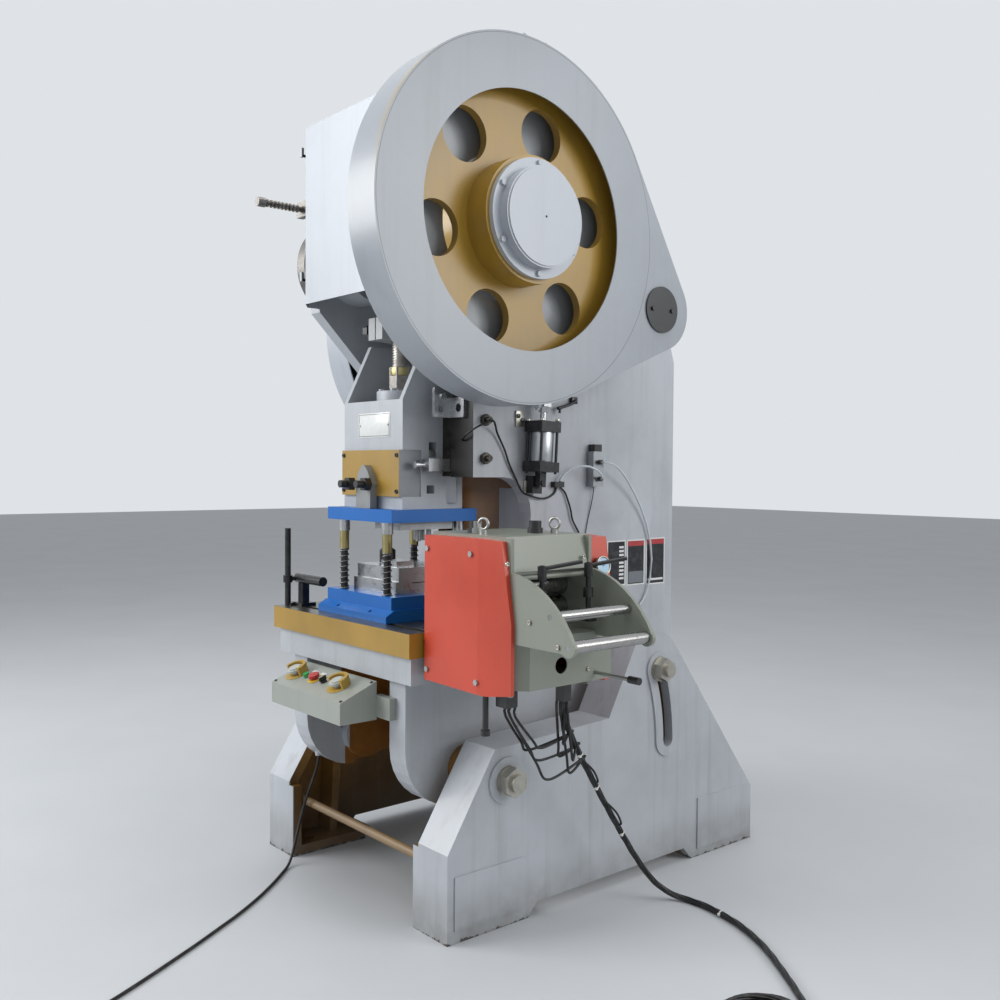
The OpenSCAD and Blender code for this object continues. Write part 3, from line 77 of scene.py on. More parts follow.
def at(x, y, z):
    """A point from millimetres, with y measured from the slide's centre line"""
    return Vector((x / 1000, y / 1000 + SLIDE_Y, z / 1000))


def framed(route):
    """A route in the frame's millimetres as points in metres"""
    return [Vector(p) / 1000 for p in route]


def begin():
    """Leaves edit mode and selects nothing"""
    if bpy.context.object and bpy.context.object.mode != "OBJECT":
        bpy.ops.object.mode_set(mode="OBJECT")
    bpy.ops.object.select_all(action="DESELECT")


def only(piece):
    """Makes a piece the one that operators act on"""
    begin()
    piece.select_set(True)
    bpy.context.view_layer.objects.active = piece
    return piece


def settle(piece):
    """Puts a piece's place, turn and size into its mesh"""
    only(piece)
    bpy.ops.object.transform_apply(location=True, rotation=True, scale=True)
    return piece


def block(name, low, high):
    """A box between two corners, to be shaped further"""
    begin()
    low, high = Vector(low), Vector(high)
    bpy.ops.mesh.primitive_cube_add(size=1, location=(low + high) / 2)
    piece = bpy.context.object
    piece.name = name
    piece.scale = high - low
    return settle(piece)


def round_bar(name, start, end, radius, sides):
    """A round bar between two points, to be shaped further"""
    begin()
    start, end = Vector(start), Vector(end)
    along = end - start
    bpy.ops.mesh.primitive_cylinder_add(
        vertices=sides, radius=radius, depth=along.length, location=(start + end) / 2,
        rotation=along.to_track_quat("Z", "Y").to_euler())
    piece = bpy.context.object
    piece.name = name
    return settle(piece)


def choose(piece, test):
    """Selects, in edit mode, the faces for which test(face) is true"""
    only(piece)
    bpy.ops.object.mode_set(mode="EDIT")
    bpy.ops.mesh.select_mode(type="FACE")
    bpy.ops.mesh.select_all(action="DESELECT")
    bpy.ops.object.mode_set(mode="OBJECT")
    for face in piece.data.polygons:
        face.select = bool(test(face))
    bpy.ops.object.mode_set(mode="EDIT")


def stepped(piece, way, *steps):
    """Insets the faces that look one way, once for each step of a width and a depth"""
    way = Vector(way).normalized()
    choose(piece, lambda face: face.normal.dot(way) > ALONG)
    for width, depth in steps:
        bpy.ops.mesh.inset(thickness=width, depth=depth)
    bpy.ops.object.mode_set(mode="OBJECT")
    return piece


def round_edges(piece, width, segments=2):
    """Bevels the sharp edges of a piece and smooths its shading"""
    only(piece)
    bevel = piece.modifiers.new("Round", "BEVEL")
    bevel.width = width
    bevel.segments = segments
    bevel.limit_method = "ANGLE"
    bevel.angle_limit = SHARP_EDGE
    bpy.ops.object.modifier_apply(modifier=bevel.name)
    bpy.ops.object.shade_smooth_by_angle(angle=SMOOTH_SHADE)
    return piece


def joined(name, pieces):
    """Several parts as one piece"""
    only(pieces[0])
    for part in pieces:
        part.select_set(True)
    if len(pieces) > 1:
        bpy.ops.object.join()
    piece = bpy.context.object
    piece.name = name
    piece.data.name = name
    return piece


def dress(piece, finish, body):
    """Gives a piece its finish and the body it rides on"""
    piece.data.materials.clear()
    piece.data.materials.append(FINISHES[finish])
    begin()
    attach(piece, body)
    return piece


def fitted(name, parts, finish, body, slot, edge=0.0, segments=2):
    """Joins parts into one piece, rounds its edges where edge gives a width, and dresses it"""
    piece = joined(name, parts)
    if edge:
        round_edges(piece, edge, segments)
    return dress(piece, finish, body)


def smooth_line(points, spacing):
    """A smooth curve through points, as points that stand about spacing millimetres apart"""
    ends = [points[0] * 2 - points[1], *points, points[-1] * 2 - points[-2]]
    line = []
    for a, b, c, d in zip(ends, ends[1:], ends[2:], ends[3:]):
        steps = max(2, round((c - b).length * 1000 / spacing))
        for i in range(steps):
            t = i / steps
            line.append(0.5 * (2 * b + (c - a) * t + (2 * a - 5 * b + 4 * c - d) * t * t
                               + (3 * b - a - 3 * c + d) * t ** 3))
    return line + [points[-1]]


def traced(name, line, radius=0.0, sides=0):
    """A curve through points, with a round section where it has a radius"""
    curve = bpy.data.curves.new(name, "CURVE")
    curve.dimensions = "3D"
    curve.bevel_depth = radius
    curve.bevel_resolution = sides
    curve.use_fill_caps = True
    spline = curve.splines.new("POLY")
    spline.points.add(len(line) - 1)
    for place, point in zip(spline.points, line):
        place.co = (*point, 1)
    piece = bpy.data.objects.new(name, curve)
    bpy.context.collection.objects.link(piece)
    return piece


def meshed(piece):
    """Turns a curve into a smooth mesh"""
    only(piece)
    bpy.ops.object.convert(target="MESH")
    bpy.ops.object.shade_smooth_by_angle(angle=SMOOTH_WIRE)
    return bpy.context.object


def wire(name, points, radius, sides, spacing):
    """A round wire or tube through points, as a mesh"""
    begin()
    return meshed(traced(name, smooth_line([Vector(p) for p in points], spacing), radius, sides))


# Materials

FINISHES = {}


def add(tree, kind, links=None, **settings):
    """Adds a node with its settings, and links or sets its sockets by name or identifier"""
    node = tree.nodes.new(kind)
    for name, value in settings.items():
        setattr(node, name, value)
    for key, value in (links or {}).items():
        socket = node.inputs[key] if isinstance(key, int) else next(
            s for s in node.inputs if key in (s.identifier, s.name))
        if isinstance(value, bpy.types.NodeSocket):
            tree.links.new(value, socket)
        else:
            socket.default_value = value
    return node


def blank(name):
    """A material with an empty node tree, and the place on the object"""
    material = bpy.data.materials.new(name)
    material.use_nodes = True
    material.node_tree.nodes.clear()
    where = add(material.node_tree, "ShaderNodeTexCoord").outputs["Object"]
    return material, material.node_tree, where


def close(material, sockets, dull=None, bumps=()):
    """Ends a material in a shader with these sockets. Dull is a pattern, its range and the range of
    roughness that follows it, and bumps are patterns with a strength and a depth."""
    tree = material.node_tree
    if dull:
        pattern, low, high, least, most = dull
        sockets["Roughness"] = add(tree, "ShaderNodeMapRange", {
            "Value": pattern, "From Min": low, "From Max": high, "To Min": least,
            "To Max": most}).outputs[0]
    relief = {}
    for pattern, strength, depth in bumps:
        relief = {"Normal": add(tree, "ShaderNodeBump", {
            "Strength": strength, "Distance": depth, "Height": pattern, **relief}).outputs[0]}
    shader = add(tree, "ShaderNodeBsdfPrincipled", {**sockets, **relief}).outputs[0]
    add(tree, "ShaderNodeOutputMaterial", {"Surface": shader})
    return material


def together(tree, operation, values):
    """Several values worked into one, such as their product, their sum or the least of them"""
    total = values[0]
    for value in values[1:]:
        total = add(tree, "ShaderNodeMath", {0: total, 1: value}, operation=operation).outputs[0]
    return total


def layer(tree, colour, tone, value, low=0.0, high=1.0, most=1.0):
    """Lays a tone over a colour: none of it where a value is low, and the share most where high"""
    share = add(tree, "ShaderNodeMapRange", {
        "Value": value, "From Min": low, "From Max": high, "To Max": most}).outputs[0]
    return add(tree, "ShaderNodeMix", {
        "Factor_Float": share, "A_Color": colour, "B_Color": tone}, data_type="RGBA").outputs[2]


def share_in(tree, where, axes, masks):
    """1 in any mask and 0 outside: a box by two corners, or what lies beyond a plane, by its normal
    and its distance from the origin"""
    shares = []
    for first, second in masks:
        if isinstance(second, float):
            reach = add(tree, "ShaderNodeVectorMath", {
                0: where, 1: first}, operation="DOT_PRODUCT").outputs["Value"]
            shares.append(together(tree, "GREATER_THAN", [reach, second]))
        else:
            shares.append(together(tree, "MULTIPLY", [
                add(tree, "ShaderNodeMath", {0: place, 1: (low + high) / 2, 2: (high - low) / 2},
                    operation="COMPARE").outputs[0]
                for place, low, high in zip(axes.outputs, first, second)]))
    return together(tree, "MAXIMUM", shares)


# the upper outline of a leg's rim: a point (y, z) on each stretch, and the stretch's slope
RIM_STRETCHES = ((-0.750, 0.275, 294 / 184), (-0.566, 0.569, 22 / 510),
                 (-0.056, 0.591, 255 / 138), (0.266, 0.836, -631 / 484))
RIM_TOP = 0.846
RIM_WALL = 0.012


def pockets(tree, where, axes):
    """1 in the hollows of the legs, a wall's thickness below the outline of the rim, and 0 outside"""
    fore, shoulder, rise, aft = [
        add(tree, "ShaderNodeMath", {0: axes.outputs[1], 1: slope, 2: z - y * slope},
            operation="MULTIPLY_ADD").outputs[0] for y, z, slope in RIM_STRETCHES]
    top = together(tree, "MINIMUM", [
        together(tree, "MAXIMUM", [shoulder, rise]), fore, aft, RIM_TOP])
    depth = together(tree, "SUBTRACT", [top, axes.outputs[2]])
    between = share_in(tree, where, axes, [((-0.5305, -0.742, 0.004), (0.5305, 0.742, 0.9))])
    return together(tree, "MULTIPLY", [
        between, together(tree, "GREATER_THAN", [depth, RIM_WALL])])


def foot_dirt(tree, where, axes, wave, colour):
    """Splashes and scuffs up to about 180 mm above the floor, and chips at the very foot"""
    near, foot = [add(tree, "ShaderNodeMapRange", {
        "Value": axes.outputs[2], "From Min": 0.0, "From Max": height, "To Min": most,
        "To Max": least}).outputs[0] for height, most, least in ((0.18, 1.0, 0.0), (0.03, 0.22, -0.3))]
    chips = add(tree, "ShaderNodeTexNoise", {
        "Vector": where, "Scale": 1 / 0.035, "Detail": 4.0, "Roughness": 0.7}).outputs["Fac"]
    colour = layer(tree, colour, rgba("#6d685f"), together(tree, "MULTIPLY", [near, wave]))
    return layer(tree, colour, rgba("#3f3b37"), together(tree, "ADD", [chips, foot]), 0.66, 0.69)


GEAR_HEIGHT = 2.190       # the guard's centre above the floor, on the slide's centre line
GUARD_SEAM = 0.5462       # the reach of the seam between the guard's rim and its face


def rim_wear(tree, axes, cloud, wave, colour):
    """Tan wear on the gear guard's outer edge, in ragged patches on its upper half, where hands and
    hooks reach, and a dirty seam between its rim and its face"""
    flat = add(tree, "ShaderNodeCombineXYZ", {
        0: 0.0, 1: axes.outputs[1], 2: axes.outputs[2]}).outputs[0]
    reach = add(tree, "ShaderNodeVectorMath", {
        0: flat, 1: (0.0, SLIDE_Y, GEAR_HEIGHT)}, operation="DISTANCE").outputs["Value"]
    # more of it towards the front
    fore = add(tree, "ShaderNodeMapRange", {
        "Value": axes.outputs[1], "From Min": -0.92, "From Max": -0.80, "To Min": 0.32,
        "To Max": 0.0}).outputs[0]
    ragged = together(tree, "ADD", [cloud, fore])
    shares = [add(tree, "ShaderNodeMapRange", {
        "Value": value, "From Min": low, "From Max": high, "To Max": most}).outputs[0]
        for value, low, high, most in (
            (reach, 0.5485, 0.5515, 1.0), (axes.outputs[0], 0.628, 0.658, 1.0),
            (ragged, 0.60, 0.85, 0.9), (axes.outputs[2], 2.15, 2.45, 1.0))]
    seam = add(tree, "ShaderNodeMath", {0: reach, 1: GUARD_SEAM, 2: 0.0013},
               operation="COMPARE").outputs[0]
    colour = layer(tree, colour, rgba("#4a4f55"), seam, most=0.6)
    tan = layer(tree, rgba("#8d7f63"), rgba("#b5ab97"), wave)
    return layer(tree, colour, tan, together(tree, "MULTIPLY", shares))


def enamel(name, tone, rough=0.38, blotch=0.08, streak=0.10, soot=0.0, coat=0.25, casting=0.5,
           inner=None, inner_masks=(), on_leg=False, worn_rim=False, zones=()):
    """Alkyd machine enamel, brushed or sprayed over filled cast iron and plate. It gives the eye an
    even, half-glossy coat with slow waves of the filler below, faint runs and handling dirt."""
    material, tree, where = blank(name)
    axes = add(tree, "ShaderNodeSeparateXYZ", {0: where})
    # runs and wipe marks, 40 mm apart and 900 mm long down the sides
    runs_at = add(tree, "ShaderNodeMapping", {
        "Vector": where, "Scale": (1 / 0.04, 1 / 0.04, 1 / 0.9)}).outputs[0]
    # clouds of tone about 400 mm wide, filler waves about 70 mm wide, the orange peel of the paint,
    # drawn at 6 mm so that it shows, and the runs, which have their scale already
    cloud, wave, peel, runs = [add(tree, "ShaderNodeTexNoise", {
        "Vector": place, "Scale": 1 / width, "Detail": detail, "Roughness": ragged}).outputs["Fac"]
        for place, width, detail, ragged in (
            (where, 0.40, 5.0, 0.6), (where, 0.07, 3.0, 0.5), (where, 0.006, 2.0, 0.5),
            (runs_at, 1.0, 4.0, 0.55))]
    colour = layer(tree, rgba(tone, 1 - 2.2 * blotch), rgba(tone, 1 + blotch), cloud, 0.32, 0.68)
    if inner:
        # the coat inside a casting, brushed on thin over dark metal
        share = share_in(tree, where, axes, inner_masks)
        if on_leg:
            share = together(tree, "MAXIMUM", [share, pockets(tree, where, axes)])
        thin = layer(tree, rgba(inner, 0.42), rgba(inner), cloud, 0.40, 0.66)
        colour = layer(tree, colour, thin, share)
    if streak:
        colour = layer(tree, colour, rgba("#6b655c"), runs, 0.52, 0.74, streak)
    if soot:
        # oily dust that gathers in clouds about 150 mm wide
        dust = add(tree, "ShaderNodeTexNoise", {
            "Vector": where, "Scale": 1 / 0.15, "Detail": 6.0, "Roughness": 0.7}).outputs["Fac"]
        colour = layer(tree, colour, rgba("#4a443c"), dust, 0.50, 0.72, soot)
    if worn_rim:
        colour = rim_wear(tree, axes, cloud, wave, colour)
    if on_leg:
        colour = foot_dirt(tree, where, axes, wave, colour)
    # other paints and bare metal on parts of the same piece
    metal = 0.0
    for other, is_metal, masks in zones:
        share = share_in(tree, where, axes, masks)
        patch = layer(tree, rgba(other, 0.72), rgba(other, 1.18), wave)
        colour = layer(tree, colour, patch, share)
        if is_metal:
            metal = together(tree, "MAXIMUM", [metal, share])
    return close(
        material, {"Base Color": colour, "IOR": 1.5, "Metallic": metal, "Coat Weight": coat,
                   "Coat Roughness": 0.22},
        dull=(cloud, 0.3, 0.7, rough - 0.06, rough + 0.10),
        bumps=[(wave, 0.16 * casting, 0.004), (peel, 0.05, 0.0006)])


def bare_metal(name, tone, rough=0.28, grain=(0.0012, 0.0012, 0.05), oil=0.0,
               oil_tone="#4c4336", marks=0.1):
    """Turned or ground steel, brass and bronze. It gives the eye sharp streaked reflections along
    the tool marks, which grain gives as widths along X, Y and Z, and dull brown patches where oil
    and dust have dried on it."""
    material, tree, where = blank(name)
    # tool marks, drawn at about 1 mm so that they show
    lines_at = add(tree, "ShaderNodeMapping", {
        "Vector": where, "Scale": [1 / width for width in grain]}).outputs[0]
    lines = add(tree, "ShaderNodeTexNoise", {
        "Vector": lines_at, "Scale": 1.0, "Detail": 3.0}).outputs["Fac"]
    # stains about 30 mm wide
    stain = add(tree, "ShaderNodeTexNoise", {
        "Vector": where, "Scale": 1 / 0.03, "Detail": 5.0, "Roughness": 0.65}).outputs["Fac"]
    colour = layer(tree, rgba(tone, 1 - marks), rgba(tone, 1 + marks), lines)
    colour = layer(tree, colour, rgba(oil_tone), stain, 0.5 - 0.25 * oil, 0.72, oil)
    return close(
        material, {"Base Color": colour, "Metallic": 1.0},
        dull=(stain, 0.35, 0.7, rough, rough + 0.16), bumps=[(lines, 0.08, 0.0004)])


def moulded(name, tone, rough=0.42, texture=0.0015, dust=0.12, dust_tone="#8f8b84", coat=0.0):
    """Moulded ABS, nylon, rubber and soft PVC, and steel with a black oxide skin. It gives the eye
    a fine even grain, soft highlights, and pale dust in patches."""
    material, tree, where = blank(name)
    grain = add(tree, "ShaderNodeTexNoise", {
        "Vector": where, "Scale": 1 / texture, "Detail": 2.0}).outputs["Fac"]
    # dust and finger marks about 25 mm wide
    patch = add(tree, "ShaderNodeTexNoise", {
        "Vector": where, "Scale": 1 / 0.025, "Detail": 5.0, "Roughness": 0.65}).outputs["Fac"]
    colour = layer(tree, rgba(tone), rgba(dust_tone), patch, 0.48, 0.75, dust)
    return close(
        material, {"Base Color": colour, "IOR": 1.46, "Coat Weight": coat},
        dull=(patch, 0.3, 0.7, rough - 0.07, rough + 0.12), bumps=[(grain, 0.12, 0.0003)])


# Finishes of the pieces

SHEET = {"rough": 0.34, "blotch": 0.04, "streak": 0.08, "casting": 0.25}
OCHRE = {"blotch": 0.09, "streak": 0.14, "soot": 0.10, "casting": 0.8}
DIE_PAINT = {"blotch": 0.05, "streak": 0.05, "casting": 0.3, "coat": 0.06}
SIGN = {"rough": 0.33, "texture": 0.004, "dust": 0.15}


def make_paints(tones):
    """The paints of the press, each with the zones where its piece shows something else"""
    FINISHES.update(
        # grey enamel on cast iron legs, with the dirty ochre primer coat inside their rims
        leg_enamel=enamel(
            "Grey_enamel_on_cast_legs", tones.grey, blotch=0.07, streak=0.22, casting=1.0,
            inner="#8a6224", inner_masks=[((-0.4103, -0.746, 0.004), (0.4103, 0.746, 0.95))],
            on_leg=True),
        # the same grey on the welded body, with ochre on the walls between its cheeks
        body_enamel=enamel(
            "Grey_enamel_on_body_plate", tones.grey, blotch=0.05, streak=0.16, soot=0.10,
            casting=0.8, inner="#a0671f",
            inner_masks=[((-0.2903, -0.60, 0.20), (0.2903, 0.46, 0.7705)),
                         ((-0.2903, -0.235, 0.8585), (0.2903, 0.46, 1.90))],
            zones=[("#1c1916", False, [((0.182, -0.4948, 1.415), (0.3498, -0.4895, 1.86)),
                                       ((-0.3498, -0.4948, 1.415), (-0.182, -0.4895, 1.86))])]),
        # the slide: the same grey, near-black in its well
        slide_enamel=enamel(
            "Grey_enamel_on_slide", tones.grey, blotch=0.05, streak=0.12, soot=0.08, casting=0.7,
            zones=[("#2b2722", False, [((-0.1595, -0.6355, 1.659), (0.1595, -0.4285, 1.881))])]),
        # the crank cover: near-black inside and on its underside, which is painted shade
        cover_enamel=enamel(
            "Grey_enamel_on_crank_cover", tones.grey_sheet, **SHEET,
            # painted shade: near-black below the cover's bottom and inside it
            zones=[("#141518", False, [((0, 0, -1), -2.0185),
                                       ((-0.2955, -0.7825, 2.0), (0.2955, -0.68, 2.6285))])]),
        # the connecting rod, with its black clamp bolt
        rod_iron=enamel(
            "Grey_enamel_on_connecting_rod", "#a3a6a8", rough=0.4, blotch=0.12, streak=0.15,
            soot=0.4,
            zones=[("#161719", False, [((-0.090, -0.646, 1.895), (-0.0425, -0.598, 1.948))])]),
        # grey enamel on sheet metal guards, smoother and a little glossier than on castings
        sheet_enamel=enamel("Grey_enamel_on_sheet_guard", tones.grey_sheet, **SHEET),
        # the gear guard, with the black disc over the pinion shaft's end, in a grey darker than the
        # frame's as painted shade on its face
        guard_enamel=enamel(
            "Grey_enamel_on_gear_guard", tones.shaded_guard_grey, rough=0.33, blotch=0.05, streak=0.10,
            casting=0.35, worn_rim=True, zones=[("#1a1b1d", False, [((1, 0, 0), 0.6603)])]),
        # the control box, with its crescent guards in ochre
        box_enamel=enamel(
            "Greenish_grey_enamel_of_control_box", "#969b94", rough=0.36, blotch=0.04,
            streak=0.08, casting=0.2, zones=[("#b08f3a", False, [((0, -0.37299, 0.92784), 0.996)])]),
        # the clamp: ochre on its front only, a raw cast boss, black studs
        clamp_enamel=enamel(
            "Ochre_enamel_on_slide_clamp", tones.ochre, rough=0.36, **OCHRE,
            zones=[("#8b9096", False, [((0, 1, 0), -0.6674)]),
                   ("#8d8f90", False, [((-0.0475, -0.6945, 1.29), (0.0475, -0.6684, 1.50))]),
                   ("#191a1c", False, [((0, -1, 0), 0.6945),
                                       ((-0.082, -0.6945, 1.36), (-0.0478, -0.6684, 1.42))])]),
        # the bolster: ochre round its edge, bare and dirty on top, dark in its two slots
        bolster_enamel=enamel(
            "Ochre_enamel_on_bolster_edge", tones.ochre, rough=0.38, **OCHRE,
            zones=[("#6f6b64", True, [((0, 0, 1), 0.9352)]),
                   ("#24211d", False, [((-0.4298, y - 0.024, 0.88), (0.4298, y + 0.024, 0.9351))
                                       for y in (-0.728, -0.340)])]),
        # black fittings of the feeder, with zinc plated eye bolts and adjusting rod
        feeder_fittings=enamel(
            "Black_fittings_with_zinc_bolts", "#1b1c1e", rough=0.36, blotch=0.04, streak=0.0,
            casting=0.1, zones=[("#a9aaa6", True, [
                ((0.600, -0.724, 1.2495), (0.680, -0.664, 1.36)),
                ((0.700, -0.512, 1.2495), (0.752, -0.440, 1.36)),
                ((0.8465, -0.430, 0.829), (0.9848, -0.406, 0.847))])]),
        # aluminium valve with a black coil, and its pale tubes
        valve=enamel(
            "Pale_air_tube_and_aluminium_valve", "#c3cbd2", rough=0.32, blotch=0.03, streak=0.0,
            casting=0.1,
            zones=[("#a4a7a9", True, [((0.3495, 0.0305, 1.381), (0.3866, 0.0855, 1.5084))]),
                   ("#1b1c1e", False, [((0.3495, 0.0305, 1.5084), (0.3866, 0.0855, 1.54)),
                                       ((0.3495, -0.1425, 1.379), (0.3740, -0.0975, 1.402)),
                                       ((0.3867, 0.047, 1.39), (0.4004, 0.069, 1.49))])]),
        # ochre enamel on the cast gear
        ochre_enamel=enamel("Ochre_enamel_on_castings", tones.ochre, rough=0.36, **OCHRE),
        # stove enamel of the roll feeder, and its orange covers with bright screws
        feeder_enamel=enamel(
            "Greenish_grey_enamel_of_feeder", tones.feeder, rough=0.40, blotch=0.03, streak=0.04,
            casting=0.2),
        orange_enamel=enamel(
            "Orange_enamel_of_feeder_covers", tones.orange, rough=0.33, blotch=0.05, streak=0.07,
            soot=0.05, casting=0.2, coat=0.10,
            zones=[("#b4b5b4", True, [((0, -1, 0), 0.7562)])]),
        # the die shoes: blue, the upper one with its punch plate and punches in steel
        blue_enamel=enamel("Blue_enamel_of_die_shoes", tones.blue, rough=0.34, **DIE_PAINT),
        punch_enamel=enamel(
            "Blue_enamel_and_punch_steel", tones.blue, rough=0.32, **DIE_PAINT,
            zones=[("#9b9ea0", True, [((0, 0, -1), -1.2625)])]),
        motor_enamel=enamel(
            "Grey_blue_enamel_of_motor", "#5d6d7a", rough=0.42, blotch=0.06, soot=0.15),
        # tan paint on the tie rods, worn and sooty
        rod_enamel=enamel(
            "Worn_tan_paint_of_tie_rods", "#8c7352", rough=0.5, blotch=0.12, streak=0.3, soot=0.35))


def make_metals():
    """The bare metals of the press"""
    FINISHES.update(
        # ground tool steel of the die block, scratched along X
        ground_steel=bare_metal(
            "Ground_tool_steel", "#b9bbbd", rough=0.24, grain=(0.04, 0.0012, 0.0012), oil=0.12),
        # rolls of the feeder, their marks round the axis along Y
        chromed_roll=bare_metal(
            "Hard_chromed_feed_roll", "#a9a8a6", rough=0.16, grain=(0.05, 0.0015, 0.05), oil=0.15,
            marks=0.06),
        oiled_steel=bare_metal("Oiled_machined_steel", "#8d8a86", rough=0.30, oil=0.5),
        greasy_steel=bare_metal(
            "Greasy_slide_way_steel", "#5e5b56", rough=0.34, oil=0.75, oil_tone="#2b2722"),
        silver_tube=bare_metal(
            "Drawn_aluminium_tube", "#b3b6b9", grain=(0.0015, 0.0015, 0.08), oil=0.08, marks=0.06),
        zinc_bolt=bare_metal(
            "Zinc_plated_bolt_steel", "#b4b1a8", rough=0.30, grain=(0.004, 0.004, 0.004), oil=0.25),
        bronze=bare_metal("Cast_bronze_bearing", "#a9793a", rough=0.32, oil=0.3),
        brass=bare_metal("Turned_cage_brass", "#a59a6c", grain=(0.004, 0.004, 0.002), marks=0.25))


def make_plastics():
    """The plastics, the rubber, the printed signs and the blackened metals of the press"""
    FINISHES.update(
        black_oxide=moulded("Black_oxide_steel", "#17181a", rough=0.34, dust=0.10, coat=0.2),
        cylinder_black=moulded("Black_anodised_cylinder", "#1b1d20", rough=0.33),
        belt_rubber=moulded("V_belt_rubber", "#1c1c1d", rough=0.62, texture=0.002, dust=0.3),
        black_plastic=moulded("Black_moulded_ABS", "#141517", rough=0.36),
        green_plastic=moulded("Green_moulded_ABS", "#1c9a52", rough=0.30, coat=0.3),
        red_plastic=moulded("Red_moulded_ABS", "#b02a30", rough=0.30, coat=0.3),
        grey_plastic=moulded("Pale_grey_moulded_ABS", "#b4b8b4", rough=0.34, coat=0.15),
        yellow_plastic=moulded("Yellow_moulded_ABS", "#d0a62c", rough=0.33, coat=0.2),
        cable_sheath=moulded(
            "Black_PVC_cable_sheath", "#131314", rough=0.40, texture=0.001, dust=0.16),
        tie_nylon=moulded("White_nylon_cable_tie", "#d8d8d2", rough=0.35, dust=0.1),
        sign_white=moulded(
            "White_printed_aluminium_sign", "#dcdedd", rough=0.3, texture=0.004, dust=0.2,
            dust_tone="#9a968e", coat=0.3),
        sign_black=moulded("Black_printed_aluminium_sign", "#1d2024", **SIGN),
        sign_red=moulded("Red_band_of_sign", "#a83a3c", **SIGN),
        sign_grey=moulded("Grey_field_of_sign", "#6e757b", **SIGN),
        gauge_blue=moulded("Pale_blue_gauge_dial", "#a9cbe2", rough=0.25, dust=0.05, coat=0.5))


# the solids of the press, by the finish they get
SOLIDS_IN = {
    "leg_enamel": "leg_right leg_left",
    "rod_enamel": "tie_rods",
    "body_enamel": "body_frame",
    "bolster_enamel": "bolster",
    "cover_enamel": "crank_cover",
    "guard_enamel": "gear_guard",
    "sheet_enamel": "flywheel_guard hub_cap screw_cap",
    "motor_enamel": "motor",
    "box_enamel": "control_box",
    "slide_enamel": "ram",
    "clamp_enamel": "shank_clamp",
    "rod_iron": "rod_cap connecting_rod",
    "ochre_enamel": "gear_wheel",
    "blue_enamel": "lower_shoe",
    "punch_enamel": "upper_shoe",
    "feeder_enamel": "feeder_frame",
    "orange_enamel": "feeder_covers",
    "feeder_fittings": "feeder_fittings",
    "valve": "air_valve",
    "cylinder_black": "air_cylinder",
    "ground_steel": "stop_brackets die_block knockout_bar post_sleeves post_springs cylinder_rod",
    "oiled_steel": "band_brake crankshaft pinion_shaft motor_pulley ball_screw",
    "greasy_steel": "gibs",
    "zinc_bolt": "pivot_bolts lock_bolts",
    "bronze": "bearings",
    "brass": "ball_cages",
    "chromed_roll": "lower_feed_roll upper_feed_roll end_roller entry_roller",
    "black_oxide": "guide_posts sensor_post flywheel guide_near guide_far",
    "belt_rubber": "drive_belts",
    "grey_plastic": "palm_button_left palm_button_right",
    "green_plastic": "start_button",
    "red_plastic": "stop_button",
    "black_plastic": "selector_switch cable_plugs",
    "cable_sheath": "feeder_cable feeder_coil control_cable control_coil",
}


# Settings

def paint(name, description, tone):
    """A paint that the panel shows and a user may change"""
    return bpy.props.FloatVectorProperty(
        name=name, description=description, subtype="COLOR", size=3, min=0, max=1,
        default=linear(tone))


class PressTones(bpy.types.PropertyGroup):
    """The paints of the press"""
    grey: paint("Frame grey", "Enamel of the legs and the body", "#b1b6bc")
    grey_sheet: paint("Sheet grey", "Enamel of the covers and boxes", "#b3b9c1")
    # a darker copy of the frame grey: painted shade on the gear guard
    shaded_guard_grey: paint("Guard grey", "Enamel of the gear guard", "#9aa0a7")
    ochre: paint("Ochre", "Enamel of the gear, the bolster and the clamp", "#a68330")
    feeder: paint("Feeder grey", "Enamel of the roll feeder's frame", "#868b80")
    orange: paint("Cover orange", "Enamel of the feeder's covers", "#c4452f")
    blue: paint("Die blue", "Enamel of the die shoes", "#0062b2")


class PressSizes(bpy.types.PropertyGroup):
    """The sizes of the loose and small pieces"""
    feeder_cord: bpy.props.FloatProperty(
        name="Feeder cable", description="Diameter over the bundle of feeder cables",
        default=0.020, min=0.01, max=0.04, unit="LENGTH")
    control_cord: bpy.props.FloatProperty(
        name="Control cable", description="Diameter of the control box's cable",
        default=0.010, min=0.005, max=0.02, unit="LENGTH")
    strands: bpy.props.IntProperty(
        name="Strands", description="Cables in the feeder's bundle", default=5, min=3, max=8)
    sign_plate: bpy.props.FloatProperty(
        name="Sign plate", description="Thickness of a sign plate", default=0.0015,
        min=0.0005, max=0.004, unit="LENGTH")
    tie_width: bpy.props.FloatProperty(
        name="Tie", description="Width of a cable tie", default=0.0048, min=0.002, max=0.01,
        unit="LENGTH")


class StudioSettings(bpy.types.PropertyGroup):
    """The camera and the lamps"""
    lens: bpy.props.FloatProperty(
        name="Lens", description="Focal length on a 36 mm wide picture, in millimetres",
        default=37.59, min=20, max=120)
    sky: bpy.props.FloatProperty(
        name="Sky", description="Strength of the even light from all sides", default=0.46,
        min=0, max=2)
    window: bpy.props.FloatProperty(
        name="Window lamp", description="Power of the large lamp at the front left, in watts",
        default=300, min=0, max=2000)
    roof: bpy.props.FloatProperty(
        name="Roof lamp", description="Power of the large lamp overhead, in watts", default=190,
        min=0, max=2000)


# Stage

# the camera stands at eye height, to the right of the press and in front of it
CAMERA_PLACE = (3.032, -2.642, 1.443)
CAMERA_HEADING = math.radians(49.8)   # to the left of straight back
CAMERA_PITCH = math.radians(-1.7)
CAMERA_ROLL = math.radians(0.4)
SIDE_LAMP_POWER = 150                 # watts
FLOOR_SIZE = 60
FLOOR_GAP = 0.0005                    # the floor lies this far below the feet


